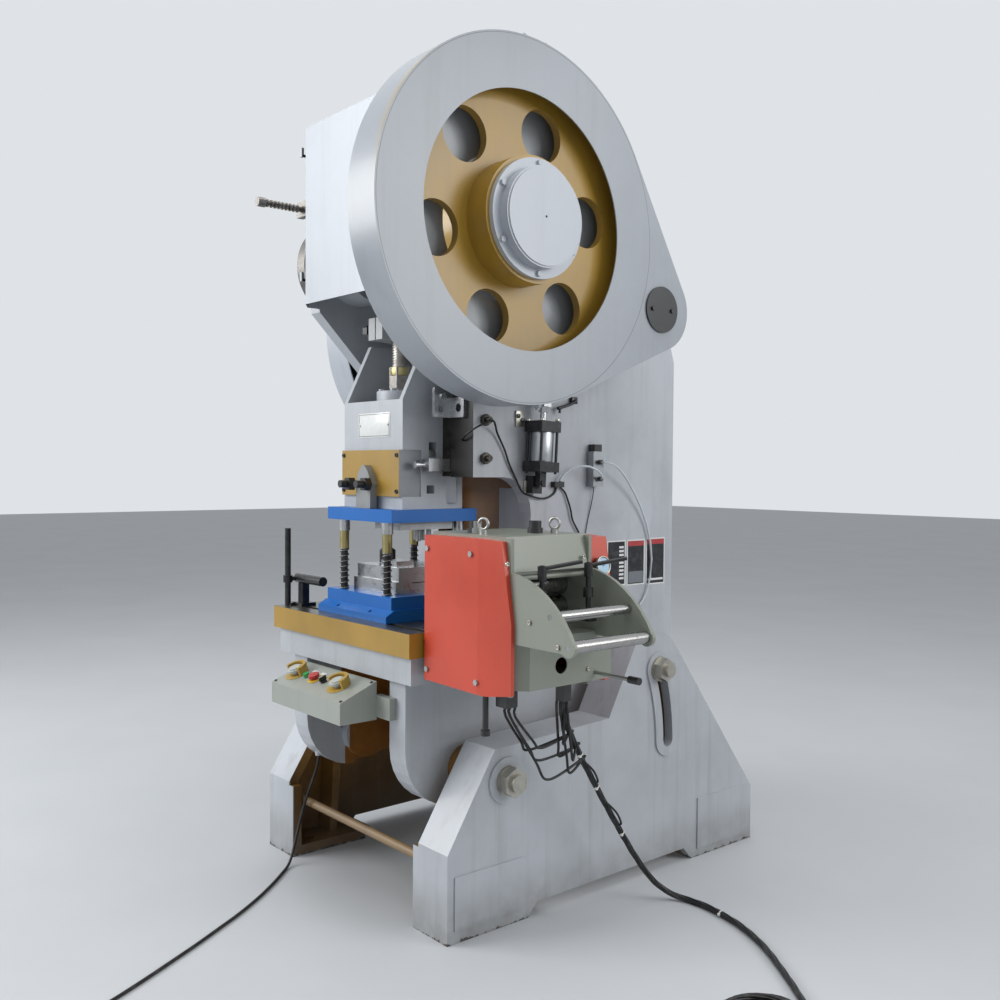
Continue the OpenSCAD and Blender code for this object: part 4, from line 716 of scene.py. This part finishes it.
def stand_camera(lens):
    """The camera, turned by its heading, pitch and roll"""
    begin()
    bpy.ops.object.camera_add(location=CAMERA_PLACE)
    camera = bpy.context.object
    camera.name = "Camera"
    ahead = Vector((-math.sin(CAMERA_HEADING), math.cos(CAMERA_HEADING),
                    math.tan(CAMERA_PITCH))).normalized()
    level = ahead.cross(Vector((0, 0, 1))).normalized()
    right = level * math.cos(CAMERA_ROLL) + level.cross(ahead) * math.sin(CAMERA_ROLL)
    camera.matrix_world = Matrix.Translation(CAMERA_PLACE) @ Matrix(
        (right, right.cross(ahead), -ahead)).transposed().to_4x4()
    camera.data.sensor_width = 36
    camera.data.sensor_fit = "HORIZONTAL"
    camera.data.lens = lens
    camera.data.clip_end = 200
    bpy.context.scene.camera = camera


def pour_floor():
    """Sealed concrete, kept plain and pale, with clouds of tone about 900 mm wide"""
    begin()
    bpy.ops.mesh.primitive_plane_add(size=FLOOR_SIZE, location=(0, 0, -FLOOR_GAP))
    floor = bpy.context.object
    floor.name = "Floor"
    material, tree, where = blank("Pale_sealed_concrete")
    cloud = add(tree, "ShaderNodeTexNoise", {
        "Vector": where, "Scale": 1 / 0.9, "Detail": 5.0, "Roughness": 0.6}).outputs["Fac"]
    tone = layer(tree, rgba("#b5b9bd"), rgba("#c3c6c9"), cloud)
    floor.data.materials.append(close(material, {
        "Base Color": tone, "Roughness": 0.6, "IOR": 1.45}))


def even_light(sky):
    """Even light from all sides, with a pale ground behind the press"""
    world = bpy.data.worlds.new("Studio")
    bpy.context.scene.world = world
    world.use_nodes = True
    tree = world.node_tree
    tree.nodes.clear()
    light, ground = [add(tree, "ShaderNodeBackground", {
        "Color": rgba(tone), "Strength": strength}).outputs[0]
        for tone, strength in (("#f2f4f6", sky), ("#dfe3e7", 1.0))]
    path = add(tree, "ShaderNodeLightPath")
    seen = together(tree, "MAXIMUM", [path.outputs[f"Is {kind} Ray"]
                                      for kind in ("Camera", "Glossy", "Transmission")])
    mixed = add(tree, "ShaderNodeMixShader", {0: seen, 1: light, 2: ground}).outputs[0]
    add(tree, "ShaderNodeOutputWorld", {"Surface": mixed})


def hang_lamp(name, place, target, size, power):
    """A large soft lamp that looks at a target"""
    begin()
    bpy.ops.object.light_add(type="AREA", location=place)
    lamp = bpy.context.object
    lamp.name = name
    aim = Vector(target) - Vector(place)
    lamp.rotation_euler = aim.to_track_quat("-Z", "Y").to_euler()
    lamp.data.shape = "RECTANGLE"
    lamp.data.size, lamp.data.size_y = size
    lamp.data.energy = power


class PRESS_OT_studio(bpy.types.Operator):
    """Adds the camera, the pale floor and the soft lamps"""
    bl_idname = "press.studio"
    bl_label = "Studio"

    def execute(self, context):
        settings = context.scene.press_studio
        stand_camera(settings.lens)
        pour_floor()
        even_light(settings.sky)
        # windows at the front left, roof lights above, and a dim fill at the right
        hang_lamp("Window_lamp", (-3.2, -5.2, 3.6), (0, -0.4, 1.5), (4.0, 3.0), settings.window)
        hang_lamp("Roof_lamp", (0.6, -0.8, 6.4), (0, -0.2, 1.0), (5.0, 5.0), settings.roof)
        hang_lamp("Side_lamp", (5.5, 2.2, 3.4), (0, 0, 1.4), (3.5, 3.0), SIDE_LAMP_POWER)
        context.scene.view_settings.view_transform = "Standard"
        return {"FINISHED"}


class PRESS_OT_finishes(bpy.types.Operator):
    """Gives every solid of the press the finish of the real one"""
    bl_idname = "press.finishes"
    bl_label = "Finishes"

    def execute(self, context):
        make_paints(context.scene.press_tones)
        make_metals()
        make_plastics()
        for finish, names in SOLIDS_IN.items():
            for name in names.split():
                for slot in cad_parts[name].material_slots:
                    slot.material = FINISHES[finish]
        return {"FINISHED"}


# Cords; their routes and coils are in the frame's millimetres, and all else is in metres

FEEDER_ROUTE = [
    (760, -470, 744), (757, -464, 715), (750, -448, 680), (742, -422, 640), (735, -392, 596),
    (729, -360, 550), (724, -326, 502), (720, -290, 452), (717, -254, 400), (715, -216, 346),
    (714, -178, 292), (714, -140, 238), (715, -102, 185), (718, -66, 136), (725, -32, 92),
    (738, 2, 54), (758, 34, 27), (786, 58, 13), (820, 70, 10), (868, 74, 10), (920, 70, 10),
    (975, 60, 10), (1035, 44, 10), (1095, 20, 10), (1160, -12, 10), (1225, -52, 10),
    (1290, -98, 10), (1350, -142, 10), (1405, -184, 10), (1452, -222, 10), (1491, -254, 10)]
CONTROL_ROUTE = [
    (-300, -690, 388), (-302, -690, 372), (-306, -692, 350), (-312, -696, 325),
    (-319, -702, 298), (-326, -709, 270), (-333, -717, 240), (-338, -725, 210),
    (-341, -733, 180), (-342, -741, 150), (-341, -750, 120), (-338, -760, 90), (-333, -771, 62),
    (-325, -784, 36), (-313, -800, 16), (-297, -819, 7), (-277, -841, 5), (-252, -868, 5),
    (-224, -898, 5), (-194, -932, 5), (-162, -970, 5), (-128, -1012, 5), (-94, -1058, 5),
    (-60, -1106, 5), (-26, -1158, 5), (8, -1214, 5), (44, -1274, 5), (82, -1338, 5),
    (120, -1406, 5), (160, -1478, 5), (200, -1552, 5), (236, -1622, 5), (262, -1676, 5)]

# the coils: angles in degrees, rings of (radius, height), and the height that the last one climbs to
FEEDER_COIL = {
    "centre": (1468.2, -400.8), "start": 50.9, "way": -1, "last": -68, "rise_to": 56,
    "rings": [(130, 10), (110, 10), (90, 10), (90, 28), (130, 28), (110, 28)]}
CONTROL_COIL = {
    "centre": (336.1, -1681.9), "start": 205.7, "way": 1, "last": 240, "rise_to": 30,
    "rings": [(65, 5), (55, 5), (45, 5), (45, 14), (65, 14), (55, 14)]}
# each cord's last point, from its coil's centre, with its height
FEEDER_TAIL = (41, -109, 57)
CONTROL_TAIL = (-29, -54.6, 31)

CROSSING = 0.78           # the share of a turn after which a coil crosses to its next ring
TURN_STEPS = 40           # points on a whole turn
BUNDLE_LAY = 0.42         # metres along the bundle for one twist
LOBE_STEPS = 6            # points on each lobe of the bundle's section
LOBE_DEPTH = 0.26         # of its radius
SLACK_WAY = Vector((0.65, 0.5, -0.2)).normalized()
TIE_PLACES = (4.85, 7.3, 10.6, 20.6)
TIE_HEAD = Vector((0.004, 0.004, 0.004))
TIE_GAP = 0.0006          # a tie stands this far off the bundle
TIE_WALL = 0.0012
SLACK_RADIUS = 0.0036
LOOP_RADIUS = 0.0042
CONNECTOR_FOOT = 744      # millimetres from the floor up to the feeder's connectors


def winding(centre, start, way, rings, last, rise_to):
    """Points of a coil that starts at an angle and winds one way through rings of (radius, height);
    the last ring is cut at the angle last and climbs to the height rise_to"""
    turns = []
    circle = 2 * math.pi
    angle = math.radians(start)
    ends = [*rings[1:], (rings[-1][0], rise_to)]
    for k, ((radius, height), (next_radius, next_height)) in enumerate(zip(rings, ends)):
        is_last = k == len(rings) - 1
        whole = (way * (math.radians(last) - angle)) % circle if is_last else circle
        count = max(8, round(TURN_STEPS * whole / circle))
        # the last ring ends in a point of its own
        for i in range(count + is_last):
            t = i / count
            shift = t if is_last else min(1, max(0, (t - CROSSING) / (1 - CROSSING)))
            shift = shift * shift * (3 - 2 * shift)
            r = radius + (next_radius - radius) * shift
            a = angle + way * whole * t
            turns.append(Vector((centre[0] + r * math.cos(a), centre[1] + r * math.sin(a),
                                 height + (next_height - height) * shift)) / 1000)
        angle += way * whole
    return turns


def cord_line(route, coil, tail, spacing, join_spacing, least):
    """A cord's whole line along its route, its coil and its tail, no two points closer than least"""
    route = smooth_line(framed(route), spacing)
    x, y = coil["centre"]
    turns = winding(**coil) + [Vector((x + tail[0], y + tail[1], tail[2])) / 1000]
    line = route + smooth_line([route[-1], turns[0]], join_spacing)[1:-1] + turns
    return [line[0]] + [b for a, b in zip(line, line[1:]) if (b - a).length > least]


def bundle(name, line, radius, strands):
    """A mesh tube round a line with a lobed section, one lobe for each cable, that twists slowly"""
    begin()
    section = []
    count = strands * LOBE_STEPS
    for i in range(count):
        a = 2 * math.pi * i / count
        r = radius * (1 - LOBE_DEPTH + LOBE_DEPTH * abs(math.cos(a * strands / 2)) ** 0.7)
        section.append((r * math.cos(a), r * math.sin(a), 0))
    shape = traced(name + "_section", section)
    shape.data.dimensions = "2D"
    shape.data.splines[0].use_cyclic_u = True
    piece = traced(name, line)
    piece.data.bevel_mode = "OBJECT"
    piece.data.bevel_object = shape
    points = piece.data.splines[0].points
    run = 0.0
    for i in range(1, len(line)):
        run += (line[i] - line[i - 1]).length
        points[i].tilt = 2 * math.pi * run / BUNDLE_LAY
    piece = meshed(piece)
    bpy.data.objects.remove(shape)
    return piece


def cable_ties(route, radius, width):
    """White ties round a cable's route, at places counted in points of the route"""
    ties = []
    for place in TIE_PLACES:
        k = int(place)
        middle = route[k].lerp(route[k + 1], place - k)
        middle.z = max(middle.z, radius)
        along = (route[k + 1] - route[k]).normalized()
        tie = round_bar("tie", middle - along * width / 2, middle + along * width / 2, radius, 32)
        choose(tie, lambda face: abs(face.normal.dot(along)) > ALONG)
        bpy.ops.mesh.inset(thickness=TIE_WALL, depth=0)
        bpy.ops.mesh.delete(type="FACE")
        bpy.ops.object.mode_set(mode="OBJECT")
        side = along.cross(Vector((0.65, -0.76, 0))).normalized()
        foot = middle + side.cross(along) * radius
        ties += [tie, round_edges(block("head", foot - TIE_HEAD, foot + TIE_HEAD), 0.0008)]
    return fitted("Feeder_cable_ties", ties, "tie_nylon", "legs", "frame_paint")


class PRESS_OT_cables(bpy.types.Operator):
    """Lays the feeder's cable bundle and the control box's cable over the floor to their coils"""
    bl_idname = "press.cables"
    bl_label = "Cables"

    def execute(self, context):
        sizes = context.scene.press_sizes
        line = cord_line(FEEDER_ROUTE, FEEDER_COIL, FEEDER_TAIL, spacing=14, join_spacing=20,
                         least=0.004)
        cable = bundle("Feeder_cable_bundle", line, sizes.feeder_cord / 2, sizes.strands)
        corners = framed(FEEDER_ROUTE)
        ties = cable_ties(corners, sizes.feeder_cord / 2 + TIE_GAP, sizes.tie_width)
        # two slack lengths that stand off the bundle below its first ties
        slack = []
        for first, last, reach in ((5, 7, 0.022), (8, 10, 0.026)):
            bow = SLACK_WAY * reach
            slack.append(wire("slack", [
                corners[first], corners[first] + bow * 0.5 - Vector((0, 0, 0.012)),
                corners[first + 1] + bow, corners[last] + bow * 0.6 + Vector((0, 0, 0.006)),
                corners[last]], SLACK_RADIUS, 2, 8))
        slack = fitted("Feeder_cable_slack", slack, "cable_sheath", "legs", "cable_sheath")
        dress(cable, "cable_sheath", "legs")
        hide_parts("feeder_cable", "feeder_coil")
        line = cord_line(CONTROL_ROUTE, CONTROL_COIL, CONTROL_TAIL, spacing=9, join_spacing=10,
                         least=0.002)
        cable = traced("Control_cable", line, sizes.control_cord / 2, 4)
        dress(cable, "cable_sheath", "legs")
        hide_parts("control_cable", "control_coil")
        return {"FINISHED"}


class PRESS_OT_cable_loops(bpy.types.Operator):
    """Adds the single cables that droop from the feeder's connectors into the bundle"""
    bl_idname = "press.cable_loops"
    bl_label = "Cable loops"

    def execute(self, context):
        route = framed(FEEDER_ROUTE)
        loops = []
        # from a connector at (x, y), down through a loop of its own drop, and up into the bundle
        starts = [(702, -112, 44), (712, -104, 30), (722, -110, 50), (730, -98, 22), (748, 52, 30),
                  (756, 60, 42), (764, 70, 24), (770, 76, 36)]
        for k, (x, y, drop) in enumerate(starts):
            top = at(x, y, CONNECTOR_FOOT)
            gather = route[3 + k % 3]
            side = Vector((0.004 * (k % 3 - 1), 0.006 * (k % 2), 0))
            low = (top + gather) / 2 + Vector((0.012 * (k % 4 - 1.5), -0.02 + 0.012 * (k % 3), 0))
            low.z = gather.z - 0.012 - drop / 1400
            loops.append(wire("loop", [
                top, top - Vector((0, 0, 0.030)), low + (top - low) * 0.35 - Vector((0, 0, 0.02)),
                low, gather + side - Vector((0, 0, 0.010)), gather + side + Vector((0, 0.012, 0.0))],
                LOOP_RADIUS, 2, 9))
        fitted("Feeder_cable_loops", loops, "cable_sheath", "body", "cable_sheath")
        return {"FINISHED"}


# Signs and fittings

def slide_sign(thick):
    """A white plate with a thin black line round it on the slide's front, held by two screws"""
    left, right, bottom, top = -86, 106, 1548, 1632
    margin, width = 4, 1.6
    front = SLIDE_FRONT - thick * 1000
    plate = block("plate", at(left, front, bottom), at(right, SLIDE_FRONT - 0.05, top))
    fitted("Slide_sign", [plate], "sign_white", "slide", "frame_paint", 0.0004)
    x0, x1, z0, z1 = left + margin, right - margin, bottom + margin, top - margin
    line = [block("line", at(low_x, front - 0.35, low_z), at(high_x, front + 0.2, high_z))
            for low_x, high_x, low_z, high_z in (
                (x0, x1, z0, z0 + width), (x0, x1, z1 - width, z1),
                (x0, x0 + width, z0 + width, z1 - width),
                (x1 - width, x1, z0 + width, z1 - width))]
    fitted("Slide_sign_line", line, "sign_black", "slide", "black_oxide", 0.0001, 1)
    screws = []
    middle = (bottom + top) / 2
    for x in (left + 9, right - 9):
        screw = round_bar("screw", at(x, front + 0.1, middle), at(x, front - 2.8, middle), 0.0042, 24)
        stepped(screw, (0, -1, 0), (0.0012, 0), (0.0004, -0.0012))
        screws.append(round_edges(screw, 0.0004))
    fitted("Slide_sign_screws", screws, "zinc_bolt", "slide", "ground_steel")


def body_plate(number, y0, y1, z0, z1):
    """A plate on the body's right side: a white edge round a dark field, bare of print but for
    plain cells, with a red band on all but the first"""
    edge = 5
    name = f"Body_plate_{number}"
    plate = block("plate", at(BODY_SIDE + 0.05, y0, z0), at(BODY_SIDE + 1.2, y1, z1))
    stepped(plate, (1, 0, 0), (0.0035, 0), (0.0004, -0.0003))
    fitted(name, [plate], "sign_white", "body", "frame_paint", 0.0003, 1)
    field = block("field", at(BODY_SIDE + 0.8, y0 + edge, z0 + edge),
                  at(BODY_SIDE + 1.35, y1 - edge, z1 - edge))
    fitted(name + "_field", [field], "sign_black", "body", "black_plastic", 0.0002, 1)
    cells, finish = [(y0 + 10, z0 + 16, y1 - 10, z0 + 24)], "sign_white"
    if number == 1:
        pitch, height = 14.5, 8
        cells = [(y0 + 64, z1 - 30 - row * pitch, y1 - 10, z1 - 30 - row * pitch + height)
                 for row in range(9)]
    elif number == 2:
        cells, finish = [(y0 + 8, z0 + 9, y1 - 8, z0 + 52)], "sign_grey"
    cells = [block("cell", at(BODY_SIDE + 1.3, *cell[:2]), at(BODY_SIDE + 1.6, *cell[2:]))
             for cell in cells]
    fitted(name + "_cells", cells, finish, "body", "frame_paint", 0.0001, 1)
    if number > 1:
        band = block("band", at(BODY_SIDE + 1.3, y0 + edge, z1 - 24),
                     at(BODY_SIDE + 1.7, y1 - edge, z1 - edge))
        fitted(name + "_band", [band], "sign_red", "body", "red_plastic", 0.0001, 1)


class PRESS_OT_signs(bpy.types.Operator):
    """Adds the bare sign plates on the slide and on the body's right side"""
    bl_idname = "press.signs"
    bl_label = "Bare signs"

    def execute(self, context):
        slide_sign(context.scene.press_sizes.sign_plate)
        # three plates in a row on the body
        body_plate(1, 677, 776, 1011, 1180)
        body_plate(2, 784, 882, 1008, 1180)
        body_plate(3, 890, 997, 1004, 1183)
        return {"FINISHED"}


class PRESS_OT_cylinder_fittings(bpy.types.Operator):
    """Adds the bright barrel and brackets of the clutch's air cylinder"""
    bl_idname = "press.cylinder_fittings"
    bl_label = "Cylinder fittings"

    def execute(self, context):
        centre = at(402, 300, 1520)
        lean = math.radians(3)
        along = Vector((0, math.sin(lean), math.cos(lean)))
        barrel = round_bar("barrel", centre - along * 0.0515, centre + along * 0.0495, 0.0389, 56)
        fitted("Clutch_cylinder_barrel", [barrel], "silver_tube", "body", "ground_steel", 0.0006)
        # flat brackets on the body, above and below the cylinder, each with two screws
        brackets, screws = [], []
        front, head = BODY_SIDE + 8, 5
        for y0, y1, z0, z1 in ((222, 256, 1588, 1642), (262, 334, 1362, 1404)):
            brackets.append(block("bracket", at(BODY_SIDE + 0.2, y0, z0), at(front, y1, z1)))
            for across, up in ((0.22, 0.66), (0.78, 0.4)):
                y, z = y0 + (y1 - y0) * across, z0 + (z1 - z0) * up
                screws.append(round_bar("screw", at(front - 0.1, y, z), at(front + head, y, z),
                                        0.0078, 24))
        fitted("Clutch_cylinder_brackets", brackets, "zinc_bolt", "body", "ground_steel", 0.0012)
        fitted("Clutch_cylinder_screws", screws, "black_oxide", "body", "black_oxide", 0.0012)
        nuts = []
        reach, top, height = 0.035, 0.0862, 0.008
        for x in (-reach, reach):
            for y in (-reach, reach):
                foot = centre + Vector((x, y, 0)) + along * top
                nuts.append(round_bar("nut", foot, foot + along * height, 0.0085, 6))
        fitted("Clutch_cylinder_nuts", nuts, "zinc_bolt", "body", "ground_steel", 0.0006)
        return {"FINISHED"}


class PRESS_OT_leads(bpy.types.Operator):
    """Adds the thin leads and tubes on the body's right side"""
    bl_idname = "press.leads"
    bl_label = "Side leads"

    def execute(self, context):
        lines = [
            # from the way's screw down past the cylinder
            (0.0034, 3, [(383, 88, 1604), (391, 96, 1599), (380, 112, 1584), (364, 133, 1562),
                         (360, 169, 1507), (358, 191, 1460), (357, 219, 1416), (356, 252, 1366),
                         (362, 292, 1350), (360, 334, 1342), (355, 372, 1344), (355, 404, 1360),
                         (355, 414, 1381)]),
            # from the same screw to the slide's guide
            (0.0034, 3, [(383, 88, 1606), (393, 78, 1602), (386, 56, 1592), (366, 36, 1576),
                         (334, 24, 1556), (306, 30, 1540), (300, 41, 1538)]),
            # from the terminal down to the first plate, and a thin one beside it
            (0.0034, 3, [(356, 430, 1381), (358, 452, 1362), (359, 468, 1330), (359, 480, 1300),
                         (359, 490, 1264), (359, 514, 1228), (356, 544, 1190)]),
            (0.0016, 2, [(362, 592, 1383), (359, 594, 1362), (356, 586, 1315), (354, 572, 1262),
                         (354, 561, 1214), (353, 558, 1190)])]
        leads = [wire("lead", [at(*p) for p in line], radius, sides, 8)
                 for radius, sides, line in lines]
        fitted("Side_leads", leads, "cable_sheath", "body", "cable_sheath")
        # the guard's latch: a bent handle on a foot
        latch = [wire("handle", [at(352, 498, 1690), at(366, 492, 1686), at(369, 462, 1672),
                                 at(369, 428, 1662), at(369, 404, 1656)], 0.0055, 4, 8),
                 wire("hook", [at(369, 416, 1660), at(369, 414, 1650), at(369, 413, 1640)],
                      0.0048, 4, 8),
                 block("foot", at(BODY_SIDE + 0.2, 478, 1676), at(364, 506, 1700))]
        fitted("Guard_latch", latch, "black_oxide", "body", "black_oxide", 0.002, 3)
        return {"FINISHED"}


class PRESS_OT_slide_fittings(bpy.types.Operator):
    """Adds the brass collar of the ball screw and the small screws of the clamp"""
    bl_idname = "press.slide_fittings"
    bl_label = "Slide fittings"

    def execute(self, context):
        collar = round_bar("collar", at(0, 0, 1766), at(0, 0, 1795), 0.0415, 48)
        fitted("Screw_collar", [collar], "brass", "slide", "ground_steel", 0.002, 3)
        screws = []
        for x, z in ((-164, 1366), (164, 1366), (-164, 1487), (164, 1487)):
            screw = round_bar("screw", at(x, -133.8, z), at(x, -138.6, z), 0.0075, 24)
            stepped(screw, (0, -1, 0), (0.0035, 0), (0.0004, -0.003))
            screws.append(round_edges(screw, 0.0005))
        fitted("Clamp_screws", screws, "black_oxide", "slide", "black_oxide")
        return {"FINISHED"}


# the control box's face: its lower edge, and its tilt
PANEL_FOOT = at(0, -386, 702)
PANEL_TILT = math.radians(21.9)


class PRESS_OT_panel_fittings(bpy.types.Operator):
    """Adds the ring, the bare legend plates and the corner screws of the control box"""
    bl_idname = "press.panel_fittings"
    bl_label = "Panel fittings"

    def execute(self, context):
        ring = round_bar("ring", (-0.045, 0.072, 0.0001), (-0.045, 0.072, 0.0035), 0.026, 48)
        stepped(ring, (0, 0, 1), (0.004, 0.0006))
        plates = [block("plate", (x - 0.014, 0.101, 0.0001), (x + 0.014, 0.114, 0.0011))
                  for x in (-0.100, -0.045, 0.012)]
        screws = [round_bar("screw", (x, y, 0.0001), (x, y, 0.0032), 0.0048, 20)
                  for x in (-0.212, 0.212) for y in (0.010, 0.134)]
        mark = block("mark", (0.0105, 0.060, 0.0216), (0.0135, 0.084, 0.0221))
        # all are made flat, and tilted with the face before they are rounded
        turn = Matrix.Translation(PANEL_FOOT) @ Matrix.Rotation(PANEL_TILT, 4, "X")
        for name, parts, *looks in (
                ("Stop_ring", [ring], "yellow_plastic", "body", "ochre_paint", 0.0005, 2),
                ("Legend_plates", plates, "sign_white", "body", "frame_paint", 0.0003, 1),
                ("Panel_screws", screws, "black_oxide", "body", "black_oxide", 0.0008, 2),
                ("Selector_mark", [mark], "sign_white", "selector", "frame_paint", 0.0001, 1)):
            for part in parts:
                part.data.transform(turn)
            fitted(name, parts, *looks)
        return {"FINISHED"}


class PRESS_OT_feeder_bolts(bpy.types.Operator):
    """Adds the bright screws of the feeder's covers and arm"""
    bl_idname = "press.feeder_bolts"
    bl_label = "Feeder bolts"

    def execute(self, context):
        bolts = []
        for x, y, z, way in ((894, -190.4, 1020, (0, -1, 0)), (1009, -190.4, 966, (0, -1, 0)),
                             (812.2, 95, 1182, (1, 0, 0)), (812.2, -206, 1176, (1, 0, 0)),
                             (846.2, 85, 852, (1, 0, 0))):
            foot = at(x, y, z)
            bolt = round_bar("bolt", foot, foot + Vector(way) * 0.005, 0.0065, 28)
            stepped(bolt, way, (0.0025, 0), (0.0004, -0.0025))
            bolts.append(round_edges(bolt, 0.0006))
        fitted("Feeder_bolts", bolts, "zinc_bolt", "body", "ground_steel")
        return {"FINISHED"}


class PRESS_OT_gauge(bpy.types.Operator):
    """Adds the pressure gauge's rim, dial and needle on the feeder's far cover"""
    bl_idname = "press.gauge"
    bl_label = "Gauge"

    def execute(self, context):
        lean = math.radians(80.8)
        out = Vector((math.sin(lean), 0, math.cos(lean)))
        foot = at(806.6, 166, 1150) + out * 0.0163
        rim = round_bar("rim", foot, foot + out * 0.009, 0.029, 48)
        stepped(rim, out, (0.0035, 0), (0.0008, -0.004))
        fitted("Gauge_rim", [rim], "zinc_bolt", "body", "ground_steel", 0.0012, 3)
        dial = round_bar("dial", foot + out * 0.0052, foot + out * 0.0060, 0.0235, 48)
        stepped(dial, out, (0.006, 0.0002))
        fitted("Gauge_dial", [dial], "gauge_blue", "body", "frame_paint", 0.0002, 1)
        side = Vector((0, 1, 0))
        start = foot + out * 0.0075
        tip = start + side * 0.008 + out.cross(side) * 0.014
        needle = wire("needle", [start - side * 0.006, start, tip], 0.0008, 1, 6)
        fitted("Gauge_needle", [needle], "black_plastic", "body", "black_plastic")
        return {"FINISHED"}


class PRESS_OT_springs(bpy.types.Operator):
    """Winds the four springs below the ball cages at one fixed length, though the real ones close up
    as the slide comes down
    """
    bl_idname = "press.springs"
    bl_label = "Guide post springs"

    def execute(self, context):
        # in millimetres: the ends, the reach of the wire's middle from the post's, its radius, and
        # how far the cages come down
        turns, low, high, reach, thick, travel = 9, 1018.3, 1160.7, 15.4, 1.9, 50
        post_x, post_y, turn_steps = (-134, 134), (-150, 150), 20
        springs = []
        for y in post_y:
            for x in post_x:
                points = []
                for i in range(turns * turn_steps + 1):
                    # the last turn at each end lies almost flat
                    share = min(1, max(0, (i / turn_steps - 0.8) / (turns - 1.6)))
                    angle = 2 * math.pi * i / turn_steps
                    points.append(at(x + reach * math.cos(angle), y + reach * math.sin(angle),
                                     low + thick + (high - low - 2 * thick) * share))
                springs.append(wire("spring", points, thick / 1000, 2, 8))
        springs = fitted("Guide_post_springs", springs, "oiled_steel", "body", "ground_steel")
        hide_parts("post_springs")
        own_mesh(springs)
        return {"FINISHED"}


class PRESS_OT_die_sensor(bpy.types.Operator):
    """Adds the black sensor on the die block and its lead up to the upper shoe"""
    bl_idname = "press.die_sensor"
    bl_label = "Die sensor"

    def execute(self, context):
        x, y, lead_foot = -62, -16, 1164
        cup = round_bar("cup", at(x, y, 1108.3), at(x, y, 1152.4), 0.0284, 40)
        stepped(cup, (0, 0, 1), (0.009, 0.007), (0.008, 0.003))
        fitted("Die_sensor", [cup], "black_plastic", "body", "black_plastic", 0.002, 3)
        lead = wire("lead", [
            at(x, y, lead_foot), at(-60, -17, 1176), at(-66, -20, 1192), at(-72, -22, 1214),
            at(-76, -22, 1238), at(-77, -22, 1262)], 0.0085, 4, 6)
        lead = fitted("Die_sensor_lead", [lead], "cable_sheath", "body", "cable_sheath")
        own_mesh(lead)
        return {"FINISHED"}


CLASSES = [PressTones, PressSizes, StudioSettings, PRESS_OT_studio, PRESS_OT_finishes,
           PRESS_OT_cables, PRESS_OT_cable_loops, PRESS_OT_signs,
           PRESS_OT_cylinder_fittings, PRESS_OT_leads, PRESS_OT_slide_fittings,
           PRESS_OT_panel_fittings, PRESS_OT_feeder_bolts, PRESS_OT_gauge,
           PRESS_OT_springs, PRESS_OT_die_sensor]


class PRESS_PT_panel(bpy.types.Panel):
    """The pieces of the press and what a user may change on them"""
    bl_idname = "PRESS_PT_panel"
    bl_label = "Stamping press"
    bl_space_type = "VIEW_3D"
    bl_region_type = "UI"
    bl_category = "Press"

    def draw(self, context):
        layout = self.layout
        for group in (context.scene.press_tones, context.scene.press_sizes,
                      context.scene.press_studio):
            column = layout.box().column()
            for name in group.bl_rna.properties.keys():
                if name not in ("rna_type", "name"):
                    column.prop(group, name)
        column = layout.column()
        for item in CLASSES:
            if issubclass(item, bpy.types.Operator):
                column.operator(item.bl_idname)


def register():
    """Adds the settings, the operators and the panel to Blender"""
    for item in (*CLASSES, PRESS_PT_panel):
        bpy.utils.register_class(item)
    bpy.types.Scene.press_tones = bpy.props.PointerProperty(type=PressTones)
    bpy.types.Scene.press_sizes = bpy.props.PointerProperty(type=PressSizes)
    bpy.types.Scene.press_studio = bpy.props.PointerProperty(type=StudioSettings)


def unregister():
    """Takes them out again"""
    del bpy.types.Scene.press_tones
    del bpy.types.Scene.press_sizes
    del bpy.types.Scene.press_studio
    for item in reversed((*CLASSES, PRESS_PT_panel)):
        bpy.utils.unregister_class(item)


def main():
    """Makes the whole scene, piece by piece"""
    register()
    bpy.ops.press.studio()
    bpy.ops.press.finishes()
    bpy.ops.press.cables()
    bpy.ops.press.cable_loops()
    bpy.ops.press.signs()
    bpy.ops.press.cylinder_fittings()
    bpy.ops.press.leads()
    bpy.ops.press.slide_fittings()
    bpy.ops.press.panel_fittings()
    bpy.ops.press.feeder_bolts()
    bpy.ops.press.gauge()
    bpy.ops.press.springs()
    bpy.ops.press.die_sensor()
    begin()


if __name__ == "__main__":
    main()
